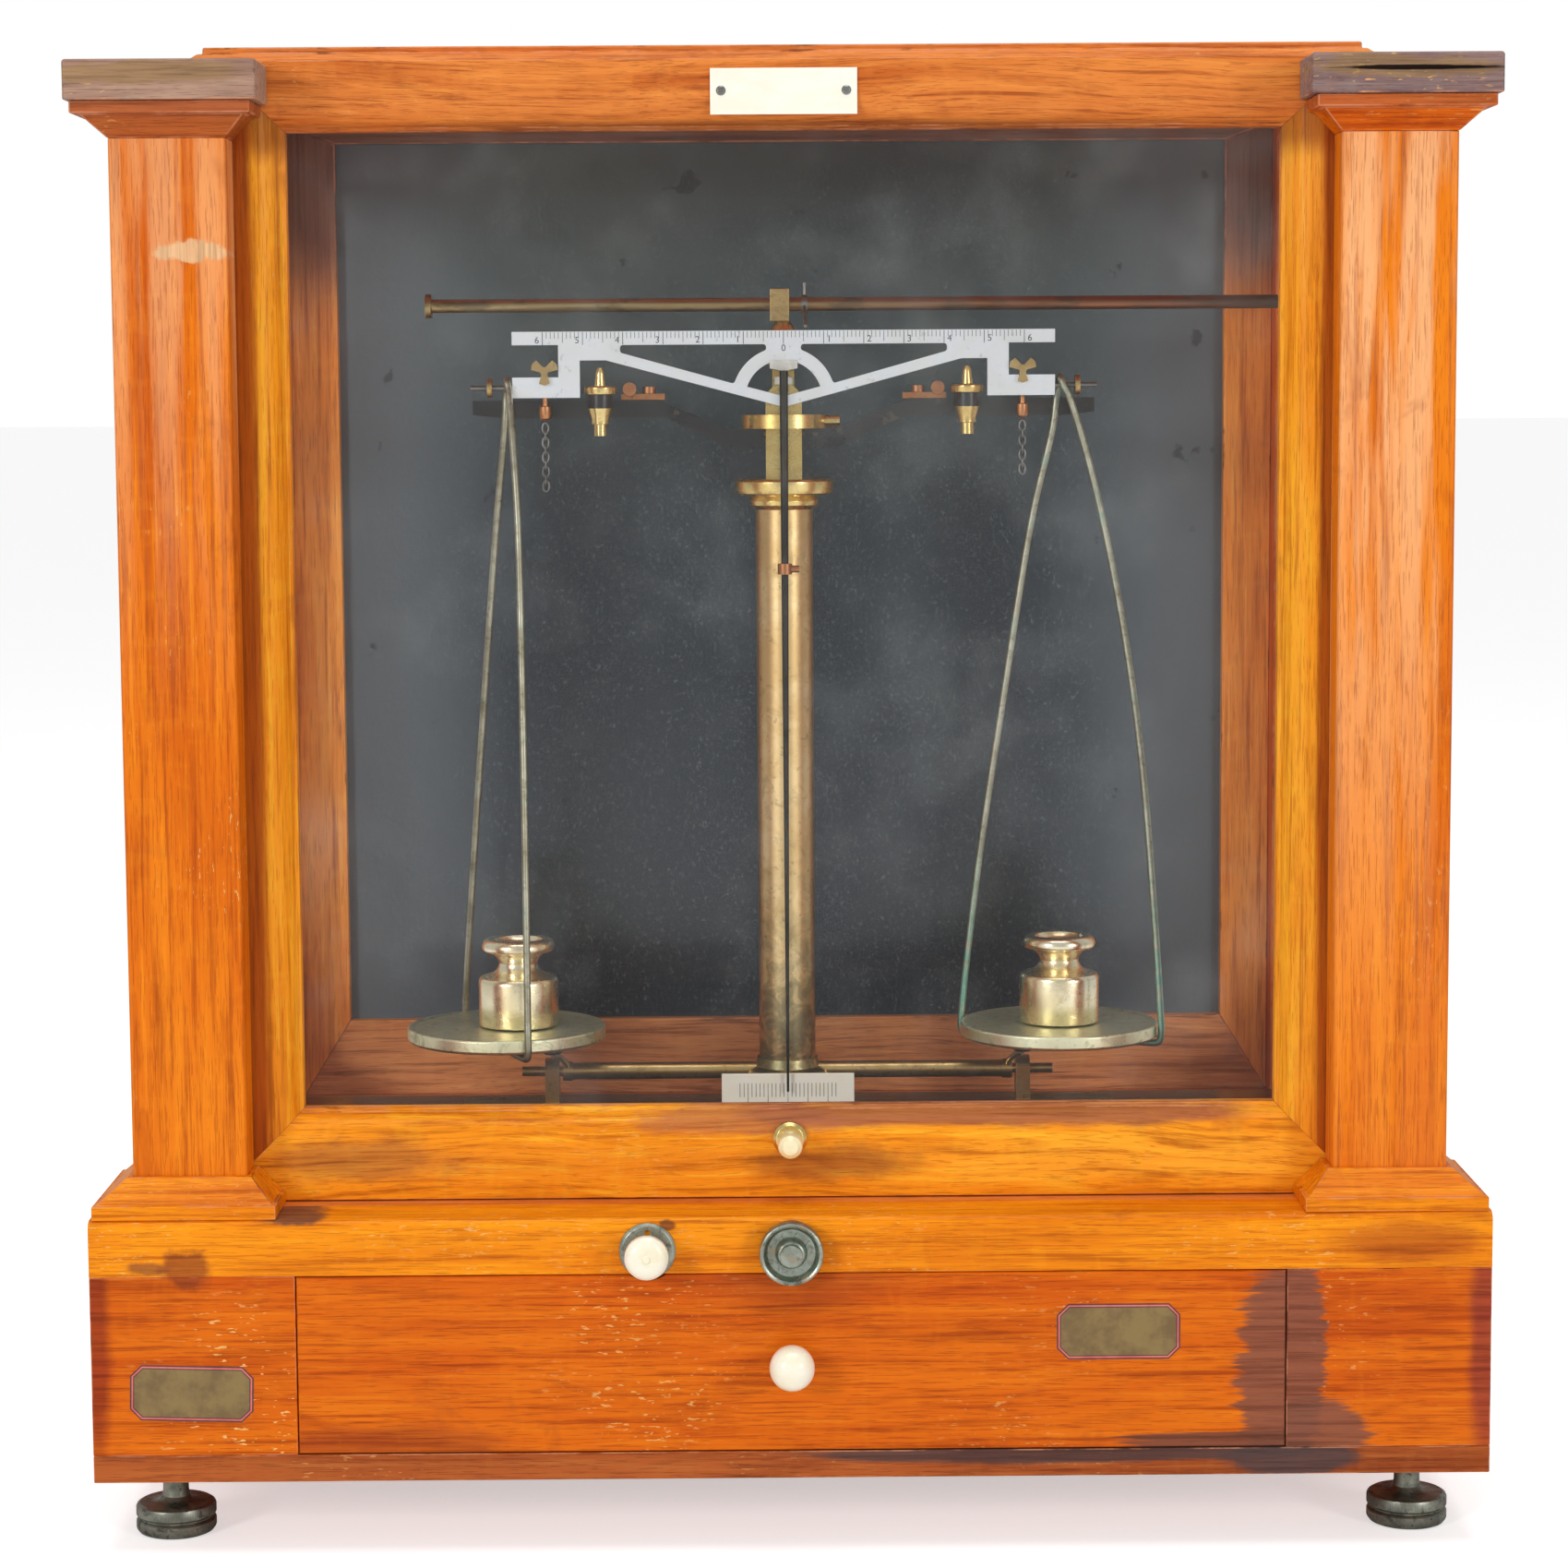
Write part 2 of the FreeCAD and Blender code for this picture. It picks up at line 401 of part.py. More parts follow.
# ---------------- beam arrest ----------------
armL = [(99.4, 346.0), (40.0, 346.0), (17.5, 336.6), (6.4, 336.6), (6.4, 330.0), (15.5, 330.0), (38.5, 340.4), (90, 340.4), (99.4, 341.5)]
arm = prism_y(armL, 103.2, 106.7)
lug = cyl_z(58.5, 100.6, 4.0, 343.4, 347.8).fuse(box(54.5, 62.5, 100.6, 104, 343.4, 346.0))
arm = arm.fuse(lug).removeSplitter()
out("arrest_arms", both(arm))
col = cyl_z(0, D0, 13.8, 336.6, 341).cut(box(-6.2, 6.2, 104.6, 117.9, 330, 345)).cut(box(-3.9, 3.9, 117, 124.5, 330, 345))
col = col.fuse(cyl_x(D0 - 3, 338.8, 1.9, 12.5, 18)).cut(box(-6.2, 6.2, 104.6, 117.9, 330, 345)).removeSplitter()
out("arrest_collar", col)
ar = cyl_z(0, D0, 2.5, 99.5, 118).fuse(box(-2, 2, D0 - 5.8, D0 + 5.8, 116, 119)).fuse(box(-2, 2, D0 + 3.4, D0 + 5.8, 116, 137))
ar = ar.fuse(box(-2, 2, D0 - 5.8, D0 - 3.4, 116, 137)).fuse(box(-2, 2, D0 - 5.8, D0 + 5.8, 134, 137)).fuse(cyl_z(0, D0, 2.5, 136, 336.4))
ar = ar.fuse(cyl_x(D0, 335.1, 1.4, -12.8, 12.8)).removeSplitter()
out("arrest_rod", ar)
cup = rev_z(58.5, 100.6, [(0, 334.6), (2.1, 334.6), (2.1, 338.2), (2.9, 338.4), (2.9, 340), (4.0, 343.4), (0, 343.4)])
cupt = rev_z(58.5, 100.6, [(0, 347.8), (4.9, 347.8), (5.1, 348.2), (5.1, 350.0), (4.7, 350.4), (1.9, 350.4), (1.3, 355.2), (.8, 356.3), (0, 356.3)])
lev = box(38.0, 52.0, 103.4, 106.4, 346.0, 348.0).fuse(cyl_z(43.0, 104.9, 2.2, 348, 350.2))
lev = lev.fuse(cyl_y(49.2, 349.4, 2.2, 101.8, 106.4)).fuse(box(48, 50.4, 103.4, 106.4, 348, 350)).removeSplitter()
cup = cup.cut(arm)
out("arrest_supports", group(cup, cupt, lev, mir(cup), mir(cupt), mir(lev)))

# knob, spindle and the eccentric that lowers the rod
kd = rev_y(0, SPIN_Z, [(2.5, -1.2), (8.8, -1.6), (9.6, -2.6), (9.6, -6.4), (8.8, -7.2), (8.0, -6.4), (7.4, -4.6), (4.6, -4.2), (4.2, -6.4), (3.4, -7.4), (2.5, -7.4)])
sp = cyl_y(0, SPIN_Z, 2.5, -9.6, 118).fuse(cyl_y(0, SPIN_Z, 3.3, -9.6, -7.4)).fuse(cyl_y(0, SPIN_Z + 1.5, 4.5, 108.5, 116.5)).removeSplitter()
out("arrest_knob", group(kd, sp))

# ---------------- pan arrest ----------------
btn = rev_y(BTN_X, SPIN_Z, [(0, -12.9), (1.0, -12.9), (1.2, -12.4), (3.5, -12.7), (5.4, -12.0), (6.5, -10.6), (6.6, -8.6), (6.2, -6.6), (4.6, -5.6), (0, -5.6)])
stem = cyl_y(BTN_X, SPIN_Z, 2.2, -5.6, 105).fuse(box(BTN_X - 2.2, -8.3, 103.5, 109.6, 91, 95)).removeSplitter()
out("pan_arrest_button", group(btn, stem))
spr = Part.makeHelix(3.0, 18, 3.6)
prof = Part.Wire([Part.makeCircle(.4, V(3.6, 0, 0), V(0, 1, 0))])
try:
    coil = Part.Wire(spr).makePipeShell([prof], True, True)
    coil.rotate(V(0, 0, 0), V(1, 0, 0), -90)
    coil.translate(V(BTN_X, 24 - D0, SPIN_Z))
except Exception as ex:
    print("helix failed", ex)
    coil = cyl_y(BTN_X, SPIN_Z, 4, 24, 42).cut(cyl_y(BTN_X, SPIN_Z, 3.2, 20, 50))
print("spring valid", coil.isValid(), coil.Volume)
out("pan_arrest_spring", coil)
sh = cyl_x(D0, SHAFT_Z, 2.75, -70.5, 70.5).fuse(cyl_x(D0, SHAFT_Z, 1.6, -87, 87))
sh = sh.fuse(box(-11.2, -8.8, D0 - 2.4, D0 + 2.4, 90, SHAFT_Z))
tip = rod([(72.2, D0, SHAFT_Z), (72.6, D0 - 4, 130.6), (74.2, D0 - 9, 133.2), (76.2, 100.9, 134.3)], 1.0)
hub = cyl_x(D0, SHAFT_Z, 3.2, 70.5, 73.6)
sh = sh.fuse(tip).fuse(mir(tip)).fuse(hub).fuse(mir(hub)).removeSplitter()
out("pan_arrest_shaft", sh)
pad = cyl_z(76.4, 100.9, 3.3, 135.2, 137.0)
pads = rev_z(76.4, 100.9, [(0, 134.8), (2.6, 134.8), (3.3, 135.5), (3.3, 137.0), (0, 137.0)]).cut(sh)
out("pan_arrest_pads", both(pads))

# ---------------- rider rod ----------------
rr = cyl_x(ROD_D, ROD_Z, 2.2, -113.5, 188).fuse(cyl_x(ROD_D, ROD_Z, 3.9, -115.6, -113.5))
kk = cyl_x(ROD_D, ROD_Z, 4.2, 183, 189).fuse(cyl_x(ROD_D, ROD_Z, 8.2, 189, 205.0)).fuse(cyl_x(ROD_D, ROD_Z, 6.4, 205, 207.0))
rr = rr.fuse(kk).removeSplitter()
out("rider_rod", rr)
ra = cyl_x(ROD_D, ROD_Z, 3.1, 6.0, 8.0).cut(cyl_x(ROD_D, ROD_Z, 2.2 + FIT, 0, 20))
w = rod([(7, ROD_D, 379.2), (7, ROD_D, 383.4)], .5).fuse(rod([(7, ROD_D - 2.7, ROD_Z - .6), (7, 113.5, 372.4), (7, 104.5, 370.6), (7, 99, 369.0)], .5))
ra = ra.fuse(w).removeSplitter()
out("rider_arm", ra)
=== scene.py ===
import bpy, bmesh, math, json
from mathutils import Vector, Matrix


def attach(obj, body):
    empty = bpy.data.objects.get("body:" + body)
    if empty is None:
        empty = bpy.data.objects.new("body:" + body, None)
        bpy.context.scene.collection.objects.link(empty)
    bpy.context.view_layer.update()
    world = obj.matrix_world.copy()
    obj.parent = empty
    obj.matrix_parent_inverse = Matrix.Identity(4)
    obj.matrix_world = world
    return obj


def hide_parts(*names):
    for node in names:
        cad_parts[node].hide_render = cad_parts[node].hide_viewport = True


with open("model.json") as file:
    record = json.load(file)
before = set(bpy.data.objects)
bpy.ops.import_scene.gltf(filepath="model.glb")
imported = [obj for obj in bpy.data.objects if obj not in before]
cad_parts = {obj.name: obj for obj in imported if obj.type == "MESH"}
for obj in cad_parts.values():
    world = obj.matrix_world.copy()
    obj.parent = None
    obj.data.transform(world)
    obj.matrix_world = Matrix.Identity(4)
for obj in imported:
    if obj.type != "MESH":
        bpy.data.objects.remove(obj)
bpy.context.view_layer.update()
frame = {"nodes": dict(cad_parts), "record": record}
NODE = frame["nodes"]
BODY = {n: b for b, ns in frame["record"]["behaviour"]["bodies"].items() for n in ns}
MM = 0.001
COLL = bpy.context.scene.collection


def lin(c, a=1.0):
    out = []
    for v in c:
        v = v / 255.0
        out.append(v / 12.92 if v <= 0.04045 else ((v + 0.055) / 1.055) ** 2.4)
    return (out[0], out[1], out[2], a)


# ------------------------------------------------------------------ materials
class Mat:
    def __init__(s, name, **fixed):
        s.m = bpy.data.materials.new(name)
        s.m.use_nodes = True
        s.t = s.m.node_tree
        s.t.nodes.clear()
        s.o = s.t.nodes.new("ShaderNodeOutputMaterial")
        s.b = s.t.nodes.new("ShaderNodeBsdfPrincipled")
        s.t.links.new(s.b.outputs[0], s.o.inputs[0])
        for k, v in fixed.items():
            s.b.inputs[k.replace("_", " ")].default_value = v
        s.co = s.t.nodes.new("ShaderNodeTexCoord").outputs["Object"]

    def put(s, sock, val):
        if isinstance(val, (int, float, tuple, list)):
            sock.default_value = val
        else:
            s.t.links.new(val, sock)

    def map(s, scale=(1, 1, 1), loc=(0, 0, 0), rot=(0, 0, 0), src=None):
        n = s.t.nodes.new("ShaderNodeMapping")
        s.t.links.new(src or s.co, n.inputs["Vector"])
        n.inputs["Scale"].default_value = scale
        n.inputs["Location"].default_value = loc
        n.inputs["Rotation"].default_value = rot
        return n.outputs[0]

    def noise(s, vec, scale=1.0, detail=3.0, rough=0.55, dist=0.0, colour=False):
        n = s.t.nodes.new("ShaderNodeTexNoise")
        s.put(n.inputs["Vector"], vec)
        n.inputs["Scale"].default_value = scale
        n.inputs["Detail"].default_value = detail
        n.inputs["Roughness"].default_value = rough
        n.inputs["Distortion"].default_value = dist
        return n.outputs["Color" if colour else "Fac"]

    def ramp(s, fac, stops):
        n = s.t.nodes.new("ShaderNodeValToRGB")
        e = n.color_ramp.elements
        while len(e) < len(stops):
            e.new(0.5)
        for el, (p, c) in zip(e, stops):
            el.position = p
            el.color = c
        s.put(n.inputs[0], fac)
        return n.outputs[0]

    def step(s, fac, a, b, lo=0.0, hi=1.0):
        n = s.t.nodes.new("ShaderNodeMapRange")
        n.interpolation_type = "SMOOTHSTEP"
        s.put(n.inputs[0], fac)
        if a <= b:
            vals = (a, b, lo, hi)
        else:
            vals = (b, a, hi, lo)
        for i, v in enumerate(vals):
            n.inputs[i + 1].default_value = v
        return n.outputs[0]

    def mix(s, fac, a, b, blend="MIX"):
        n = s.t.nodes.new("ShaderNodeMix")
        n.data_type = "RGBA"
        n.blend_type = blend
        s.put(n.inputs[0], fac)
        s.put(n.inputs[6], a)
        s.put(n.inputs[7], b)
        return n.outputs[2]

    def math(s, op, a, b=0.0, clamp=False):
        n = s.t.nodes.new("ShaderNodeMath")
        n.operation = op
        n.use_clamp = clamp
        s.put(n.inputs[0], a)
        s.put(n.inputs[1], b)
        return n.outputs[0]

    def vmath(s, op, a, b=(0, 0, 0)):
        n = s.t.nodes.new("ShaderNodeVectorMath")
        n.operation = op
        s.put(n.inputs[0], a)
        s.put(n.inputs[1], b)
        return n.outputs["Value" if op in ("LENGTH", "DOT_PRODUCT") else "Vector"]

    def xyz(s, i):
        n = s.t.nodes.new("ShaderNodeSeparateXYZ")
        s.t.links.new(s.co, n.inputs[0])
        return n.outputs[i]

    def blot(s, c, r, fringe=0.35, freq=(60, 60, 60), soft=0.25):
        """Mask of an irregular patch round c, radii r (metres), with ragged borders."""
        d = s.vmath("SUBTRACT", s.co, tuple(c))
        d = s.vmath("DIVIDE", d, tuple(r))
        ln = s.vmath("LENGTH", d)
        nz = s.noise(s.map(scale=freq), 1.0, 4, 0.6)
        nz = s.math("MULTIPLY", s.math("SUBTRACT", nz, 0.5), fringe * 4)
        return s.step(s.math("ADD", ln, nz), 1.0 + soft / 2, 1.0 - soft / 2)

    def bump(s, height, dist, strength=1.0, normal=None):
        n = s.t.nodes.new("ShaderNodeBump")
        n.inputs["Distance"].default_value = dist
        n.inputs["Strength"].default_value = strength
        s.put(n.inputs["Height"], height)
        if normal is not None:
            s.put(n.inputs["Normal"], normal)
        return n.outputs[0]

    def done(s, color=None, rough=None, normal=None, alpha=None, metal=None):
        if color is not None:
            s.put(s.b.inputs["Base Color"], color)
        if rough is not None:
            s.put(s.b.inputs["Roughness"], rough)
        if normal is not None:
            s.put(s.b.inputs["Normal"], normal)
        if alpha is not None:
            s.put(s.b.inputs["Alpha"], alpha)
        if metal is not None:
            s.put(s.b.inputs["Metallic"], metal)
        return s.m


TONES = {
    "orange": [(184, 70, 3), (208, 90, 4), (224, 110, 9), (196, 80, 3)],
    "yellow": [(214, 104, 5), (234, 130, 8), (248, 150, 16), (222, 116, 6)],
    "pillar": [(206, 92, 5), (224, 110, 9), (238, 130, 18), (212, 98, 6)],
    "red": [(188, 92, 32), (214, 114, 46), (228, 134, 60), (198, 100, 38)],
    "gold": [(228, 130, 16), (248, 152, 26), (254, 172, 42), (236, 138, 20)],
    "brown": [(132, 58, 20), (160, 76, 30), (182, 94, 42), (142, 64, 24)],
    "dark": [(124, 92, 82), (150, 116, 100), (178, 142, 120), (132, 98, 88)],
    "dark_r": [(100, 78, 76), (124, 98, 96), (150, 122, 116), (108, 84, 82)],
    "inside": [(220, 124, 46), (240, 150, 62), (250, 170, 82), (228, 134, 52)],
    "brail": [(172, 104, 56), (204, 130, 76), (222, 150, 92), (184, 114, 62)],
    "ebony": [(32, 17, 12), (42, 23, 15), (54, 30, 19), (34, 18, 12)],
    "plain": [(178, 116, 62), (196, 134, 74), (206, 148, 88), (184, 122, 64)],
}
_woods = {}


def wood(key, axis, seed, tone="orange", worn=False, nick=0.5, streak=1.0, pink=None,
         blots=(), gloss=0.30, wave=0.0, fine=1.0, coat=0.03, waviness=0.8):
    """Varnished wood with its grain along one axis. Colours vary in bands, streaks and pores."""
    name = "wood_%s%s" % (key, "_edge" if worn else "")
    if name in _woods:
        return _woods[name]
    m = Mat(name, Coat_Weight=coat, Coat_Roughness=0.18, Specular_IOR_Level=0.12)

    def al(a, c):
        v = [c * 1.0, c * 1.0, c * 1.0]
        v[axis] = a * 1.0
        return tuple(v)

    off = (seed * 0.37, seed * 0.53, seed * 0.71)
    src = m.vmath("ADD", m.co, off)
    if wave:
        wz = m.noise(m.map(scale=al(9, 22), src=src), 1.0, 2, 0.5, colour=True)
        wz = m.vmath("MULTIPLY", m.vmath("SUBTRACT", wz, (0.5, 0.5, 0.5)), (wave, wave, wave))
        src = m.vmath("ADD", src, wz)
    f1 = m.noise(m.map(scale=al(3.5, 34), src=src), 1.0, 3, 0.6, waviness)
    f2 = m.noise(m.map(scale=al(16, 620 * fine), src=src), 1.0, 4, 0.62, 0.3)
    f3 = m.noise(m.map(scale=al(120, 3000 * fine), src=src), 1.0, 2, 0.5)
    f4 = m.noise(m.map(scale=al(170, 60), src=src), 1.0, 2, 0.5, 0.4)
    f5 = m.noise(m.map(scale=al(24, 110), src=src), 1.0, 3, 0.6, 0.5)
    t = [lin(c) for c in TONES[tone]]
    col = m.ramp(f1, [(0.30, t[0]), (0.44, t[1]), (0.58, t[2]), (0.72, t[3])])
    dark = tuple(x * k for x, k in zip(t[0][:3], (0.58, 0.48, 0.60))) + (1.0,)
    pale = tuple(min(1, x * k + a) for x, k, a in zip(t[2][:3], (1.08, 1.25, 1.3), (0.01, 0.02, 0.002))) + (1.0,)
    col = m.mix(m.math("MULTIPLY", m.step(f2, 0.50, 0.70), 0.66 * streak), col, dark)
    col = m.mix(m.math("MULTIPLY", m.step(f2, 0.47, 0.30), 0.55 * streak), col, pale)
    col = m.mix(m.math("MULTIPLY", m.step(f5, 0.54, 0.72), 0.30), col, dark)
    col = m.mix(m.math("MULTIPLY", m.step(f4, 0.52, 0.68), 0.12), col, pale)
    if pink:
        # faded varnish: strength rises from pink[0] to pink[1] along Z, in streaks
        pk = m.step(m.xyz(2), pink[0], pink[1], pink[2], pink[3])
        pn = m.noise(m.map(scale=al(5, 90), loc=(3, 1, 2), src=src), 1.0, 3, 0.6, 0.4)
        pf = m.math("MULTIPLY", pk, m.step(pn, 0.36, 0.56))
        col = m.mix(pf, col, lin((250, 182, 124)))
        col = m.mix(m.math("MULTIPLY", m.math("MULTIPLY", pk, m.step(f2, 0.54, 0.68)), 0.5), col, lin((196, 124, 82)))
    pore = m.step(f3, 0.57, 0.66)
    col = m.mix(m.math("MULTIPLY", pore, 0.40), col, dark)
    # old bruises and worn specks
    b1 = m.noise(m.map(scale=(26, 26, 26), loc=(5, 7, 1), src=src), 1.0, 4, 0.62, 0.6)
    bruise = m.math("MULTIPLY", m.step(b1, 0.62, 0.72), 0.28)
    col = m.mix(bruise, col, lin((150, 66, 30)))
    reg = m.step(m.noise(m.map(scale=(15, 15, 15), loc=(2, 9, 4), src=src), 1.0, 2), 0.50, 0.66)
    spk = m.step(m.noise(m.map(scale=al(260, 950), loc=(1, 1, 1), src=src), 1.0, 2, 0.6), 0.63, 0.68)
    nk = m.math("MULTIPLY", m.math("MULTIPLY", reg, spk), nick)
    col = m.mix(nk, col, lin((240, 186, 110)))
    rough_add = 0.0
    for b in blots:
        msk = m.math("MULTIPLY", m.blot(b["c"], b["r"], b.get("fringe", 0.3), b.get("freq", al(25, 300)), b.get("soft", 0.2)), b.get("k", 1.0))
        bc = lin(b["col"])
        bd = tuple(x * 0.62 for x in bc[:3]) + (1.0,)
        tint = m.mix(m.step(f2, 0.42, 0.64), bc, bd)
        col = m.mix(msk, col, tint)
        rough_add = m.math("MULTIPLY", msk, 0.22) if rough_add == 0.0 else m.math("ADD", rough_add, m.math("MULTIPLY", msk, 0.22))
    if worn:
        wn = m.step(m.noise(m.map(scale=(70, 70, 70), src=src), 1.0, 4, 0.65), 0.42, 0.62)
        col = m.mix(m.math("MULTIPLY", wn, 0.55), col, lin((222, 150, 110)))
        wd = m.step(m.noise(m.map(scale=(48, 48, 48), loc=(8, 2, 5), src=src), 1.0, 4, 0.65), 0.56, 0.68)
        col = m.mix(m.math("MULTIPLY", wd, 0.7), col, lin((96, 40, 30)))
    rough = m.math("ADD", m.step(f2, 0.2, 0.8, gloss, gloss + 0.16), m.math("MULTIPLY", bruise, 0.4))
    if rough_add != 0.0:
        rough = m.math("ADD", rough, rough_add)
    h = m.math("SUBTRACT", m.math("MULTIPLY", f2, 0.6), m.math("MULTIPLY", pore, 0.7))
    h = m.math("SUBTRACT", h, m.math("MULTIPLY", nk, 0.8))
    nrm = m.bump(h, 0.00010, 0.75)
    m.done(col, rough, nrm)
    _woods[name] = m.m
    return m.m


def metal(name, base, alt, stain, k=0.5, rough=0.28, low=None, turned=None, spots=0.4, patina=None, pk=0.0, bump=0.00004, scale=60.0):
    """Old metal: two base tones, a stain that gathers in patches, fine spots, light scratches or turning marks."""
    m = Mat(name, Metallic=1.0)
    n1 = m.noise(m.map(scale=(scale, scale, scale)), 1.0, 5, 0.62, 0.4)
    n2 = m.noise(m.map(scale=(scale * 7, scale * 7, scale * 7)), 1.0, 4, 0.6)
    n3 = m.noise(m.map(scale=(scale * 2.6,) * 3, loc=(4, 2, 6)), 1.0, 5, 0.68, 0.8)
    col = m.mix(m.step(n1, 0.38, 0.62), lin(base), lin(alt))
    sm = m.math("MULTIPLY", m.step(n3, 0.52, 0.66), k)
    col = m.mix(sm, col, lin(stain))
    sp = m.math("MULTIPLY", m.step(n2, 0.60, 0.70), spots)
    col = m.mix(sp, col, tuple(x * 0.5 for x in lin(stain)[:3]) + (1,))
    pat = None
    if patina:
        pn = m.noise(m.map(scale=(scale * 1.6,) * 3, loc=(9, 1, 3)), 1.0, 5, 0.7, 0.5)
        pat = m.math("MULTIPLY", m.step(pn, 0.55, 0.66), pk)
        col = m.mix(pat, col, lin(patina))
    if low:
        lm = m.step(m.xyz(2), low[0], low[1], 0.88, low[2])
        lm = m.math("MULTIPLY", lm, m.step(n3, 0.34, 0.58))
        col = m.mix(lm, col, lin(low[3]))
    r = m.math("ADD", m.step(n1, 0.2, 0.8, rough, rough + 0.12), m.math("MULTIPLY", sm, 0.25))
    h = m.math("ADD", m.math("MULTIPLY", n2, 0.5), m.math("MULTIPLY", sp, -0.6))
    if turned is not None:
        sc = [25.0, 25.0, 25.0]
        sc[turned] = 5200.0
        tm = m.noise(m.map(scale=tuple(sc)), 1.0, 2, 0.5)
        h = m.math("ADD", h, m.math("MULTIPLY", tm, 0.8))
    nrm = m.bump(h, bump, 0.6)
    if pat is not None:
        return m.done(col, r, nrm, metal=m.math("SUBTRACT", 1.0, m.math("MULTIPLY", pat, 0.8)))
    return m.done(col, r, nrm)


def paint(name, base, alt, rough=0.3, chip=None, peel=0.00005, pscale=500.0):
    m = Mat(name, Specular_IOR_Level=0.5, Coat_Weight=0.3, Coat_Roughness=0.12)
    n1 = m.noise(m.map(scale=(40, 40, 40)), 1.0, 4, 0.6)
    col = m.mix(m.step(n1, 0.35, 0.65), lin(base), lin(alt))
    if chip:
        n2 = m.noise(m.map(scale=(190, 190, 190)), 1.0, 4, 0.6)
        col = m.mix(m.math("MULTIPLY", m.step(n2, 0.63, 0.68), 0.8), col, lin(chip))
    pe = m.noise(m.map(scale=(pscale,) * 3), 1.0, 2, 0.5)
    return m.done(col, m.step(n1, 0.2, 0.8, rough, rough + 0.15), m.bump(pe, peel, 0.5))


def ivory(name, base=(243, 236, 206), alt=(250, 246, 228), crack=0.15, rough=0.22):
    m = Mat(name, Subsurface_Weight=0.12, Subsurface_Radius=(0.004, 0.0025, 0.0015), Subsurface_Scale=0.25, Coat_Weight=0.35, Coat_Roughness=0.1)
    n1 = m.noise(m.map(scale=(55, 55, 160)), 1.0, 4, 0.6, 0.5)
    n2 = m.noise(m.map(scale=(500, 500, 80)), 1.0, 3, 0.6)
    col = m.mix(m.step(n1, 0.35, 0.68), lin(alt), lin(base))
    col = m.mix(m.math("MULTIPLY", m.step(n2, 0.60, 0.75), crack), col, lin((196, 170, 110)))
    return m.done(col, m.step(n1, 0.2, 0.8, rough, rough + 0.12), m.bump(n2, 0.00003, 0.4))


def glass(name, smudge=None):
    m = Mat(name, Base_Color=(0.80, 0.86, 0.84, 1), IOR=1.45, Specular_IOR_Level=0.5)
    lw = m.t.nodes.new("ShaderNodeLayerWeight")
    lw.inputs[0].default_value = 0.12
    n1 = m.noise(m.map(scale=(20, 20, 20)), 1.0, 5, 0.6)
    a = m.math("ADD", m.math("MULTIPLY", lw.outputs["Fresnel"], 0.10), m.step(n1, 0.45, 0.8, 0.012, 0.05))
    if smudge:
        st = m.noise(m.map(scale=(70, 20, 420), rot=(0, 0.9, 0)), 1.0, 3, 0.6)
        for c, r, k in smudge:
            msk = m.blot(c, r, 0.22, (70, 70, 40), 0.7)
            a = m.math("ADD", a, m.math("MULTIPLY", m.math("MULTIPLY", msk, k), m.step(st, 0.3, 0.7, 0.6, 1.0)))
    m.m.blend_method = "BLEND" if hasattr(m.m, "blend_method") else None
    return m.done(rough=m.step(n1, 0.2, 0.8, 0.03, 0.12), alpha=m.math("MINIMUM", a, 0.6))


def slate(name):
    m = Mat(name, Specular_IOR_Level=0.6, Coat_Weight=0.25, Coat_Roughness=0.06)
    n1 = m.noise(m.map(scale=(9, 9, 6)), 1.0, 4, 0.6, 0.5)
    pe = m.noise(m.map(scale=(330, 330, 330)), 1.0, 3, 0.6)
    gr = m.noise(m.map(scale=(1300, 1300, 900)), 1.0, 2, 0.6)
    # painted reflection: the panel turns lighter grey-green towards the top
    top = m.step(m.xyz(2), 0.27, 0.43)
    col = m.mix(m.step(n1, 0.35, 0.65), lin((28, 38, 50)), lin((38, 48, 60)))
    col = m.mix(m.math("MULTIPLY", top, m.step(n1, 0.3, 0.6, 0.35, 0.7)), col, lin((92, 106, 104)))
    # painted reflection: the panel turns lighter grey towards its left and right edges
    edge = m.step(m.math("ABSOLUTE", m.xyz(0), 0.0), 0.085, 0.145)
    col = m.mix(m.math("MULTIPLY", edge, 0.75), col, lin((108, 118, 124)))
    col = m.mix(m.math("MULTIPLY", m.step(gr, 0.55, 0.75), 0.35), col, lin((112, 128, 130)))
    dk = m.noise(m.map(scale=(75, 75, 75), loc=(3, 3, 3)), 1.0, 4, 0.6)
    col = m.mix(m.math("MULTIPLY", m.step(dk, 0.66, 0.72), 0.5), col, lin((22, 28, 34)))
    nrm = m.bump(m.math("ADD", pe, m.math("MULTIPLY", gr, 0.25)), 0.00022, 0.40)
    return m.done(col, m.step(n1, 0.2, 0.8, 0.17, 0.26), nrm)


def aluminium(name):
    m = Mat(name, Metallic=1.0)
    st = m.noise(m.map(scale=(30, 900, 900)), 1.0, 3, 0.6)
    n1 = m.noise(m.map(scale=(70, 70, 70)), 1.0, 5, 0.62, 0.6)
    sp = m.noise(m.map(scale=(420, 420, 420)), 1.0, 4, 0.6)
    col = m.mix(m.step(n1, 0.4, 0.65), lin((252, 254, 255)), lin((240, 245, 250)))
    col = m.mix(m.math("MULTIPLY", m.step(sp, 0.62, 0.70), 0.30), col, lin((150, 156, 164)))
    col = m.mix(m.math("MULTIPLY", m.step(n1, 0.66, 0.74), 0.35), col, lin((176, 178, 176)))
    return m.done(col, m.step(n1, 0.2, 0.8, 0.30, 0.44), m.bump(m.math("ADD", st, m.math("MULTIPLY", sp, 0.4)), 0.00003, 0.5))


def ink(name, c):
    m = Mat(name)
    n = m.noise(m.map(scale=(900, 900, 900)), 1.0, 2)
    return m.done(m.mix(m.step(n, 0.3, 0.7), lin(c), tuple(min(1, x * 2.2 + 0.01) for x in lin(c)[:3]) + (1,)), 0.6)


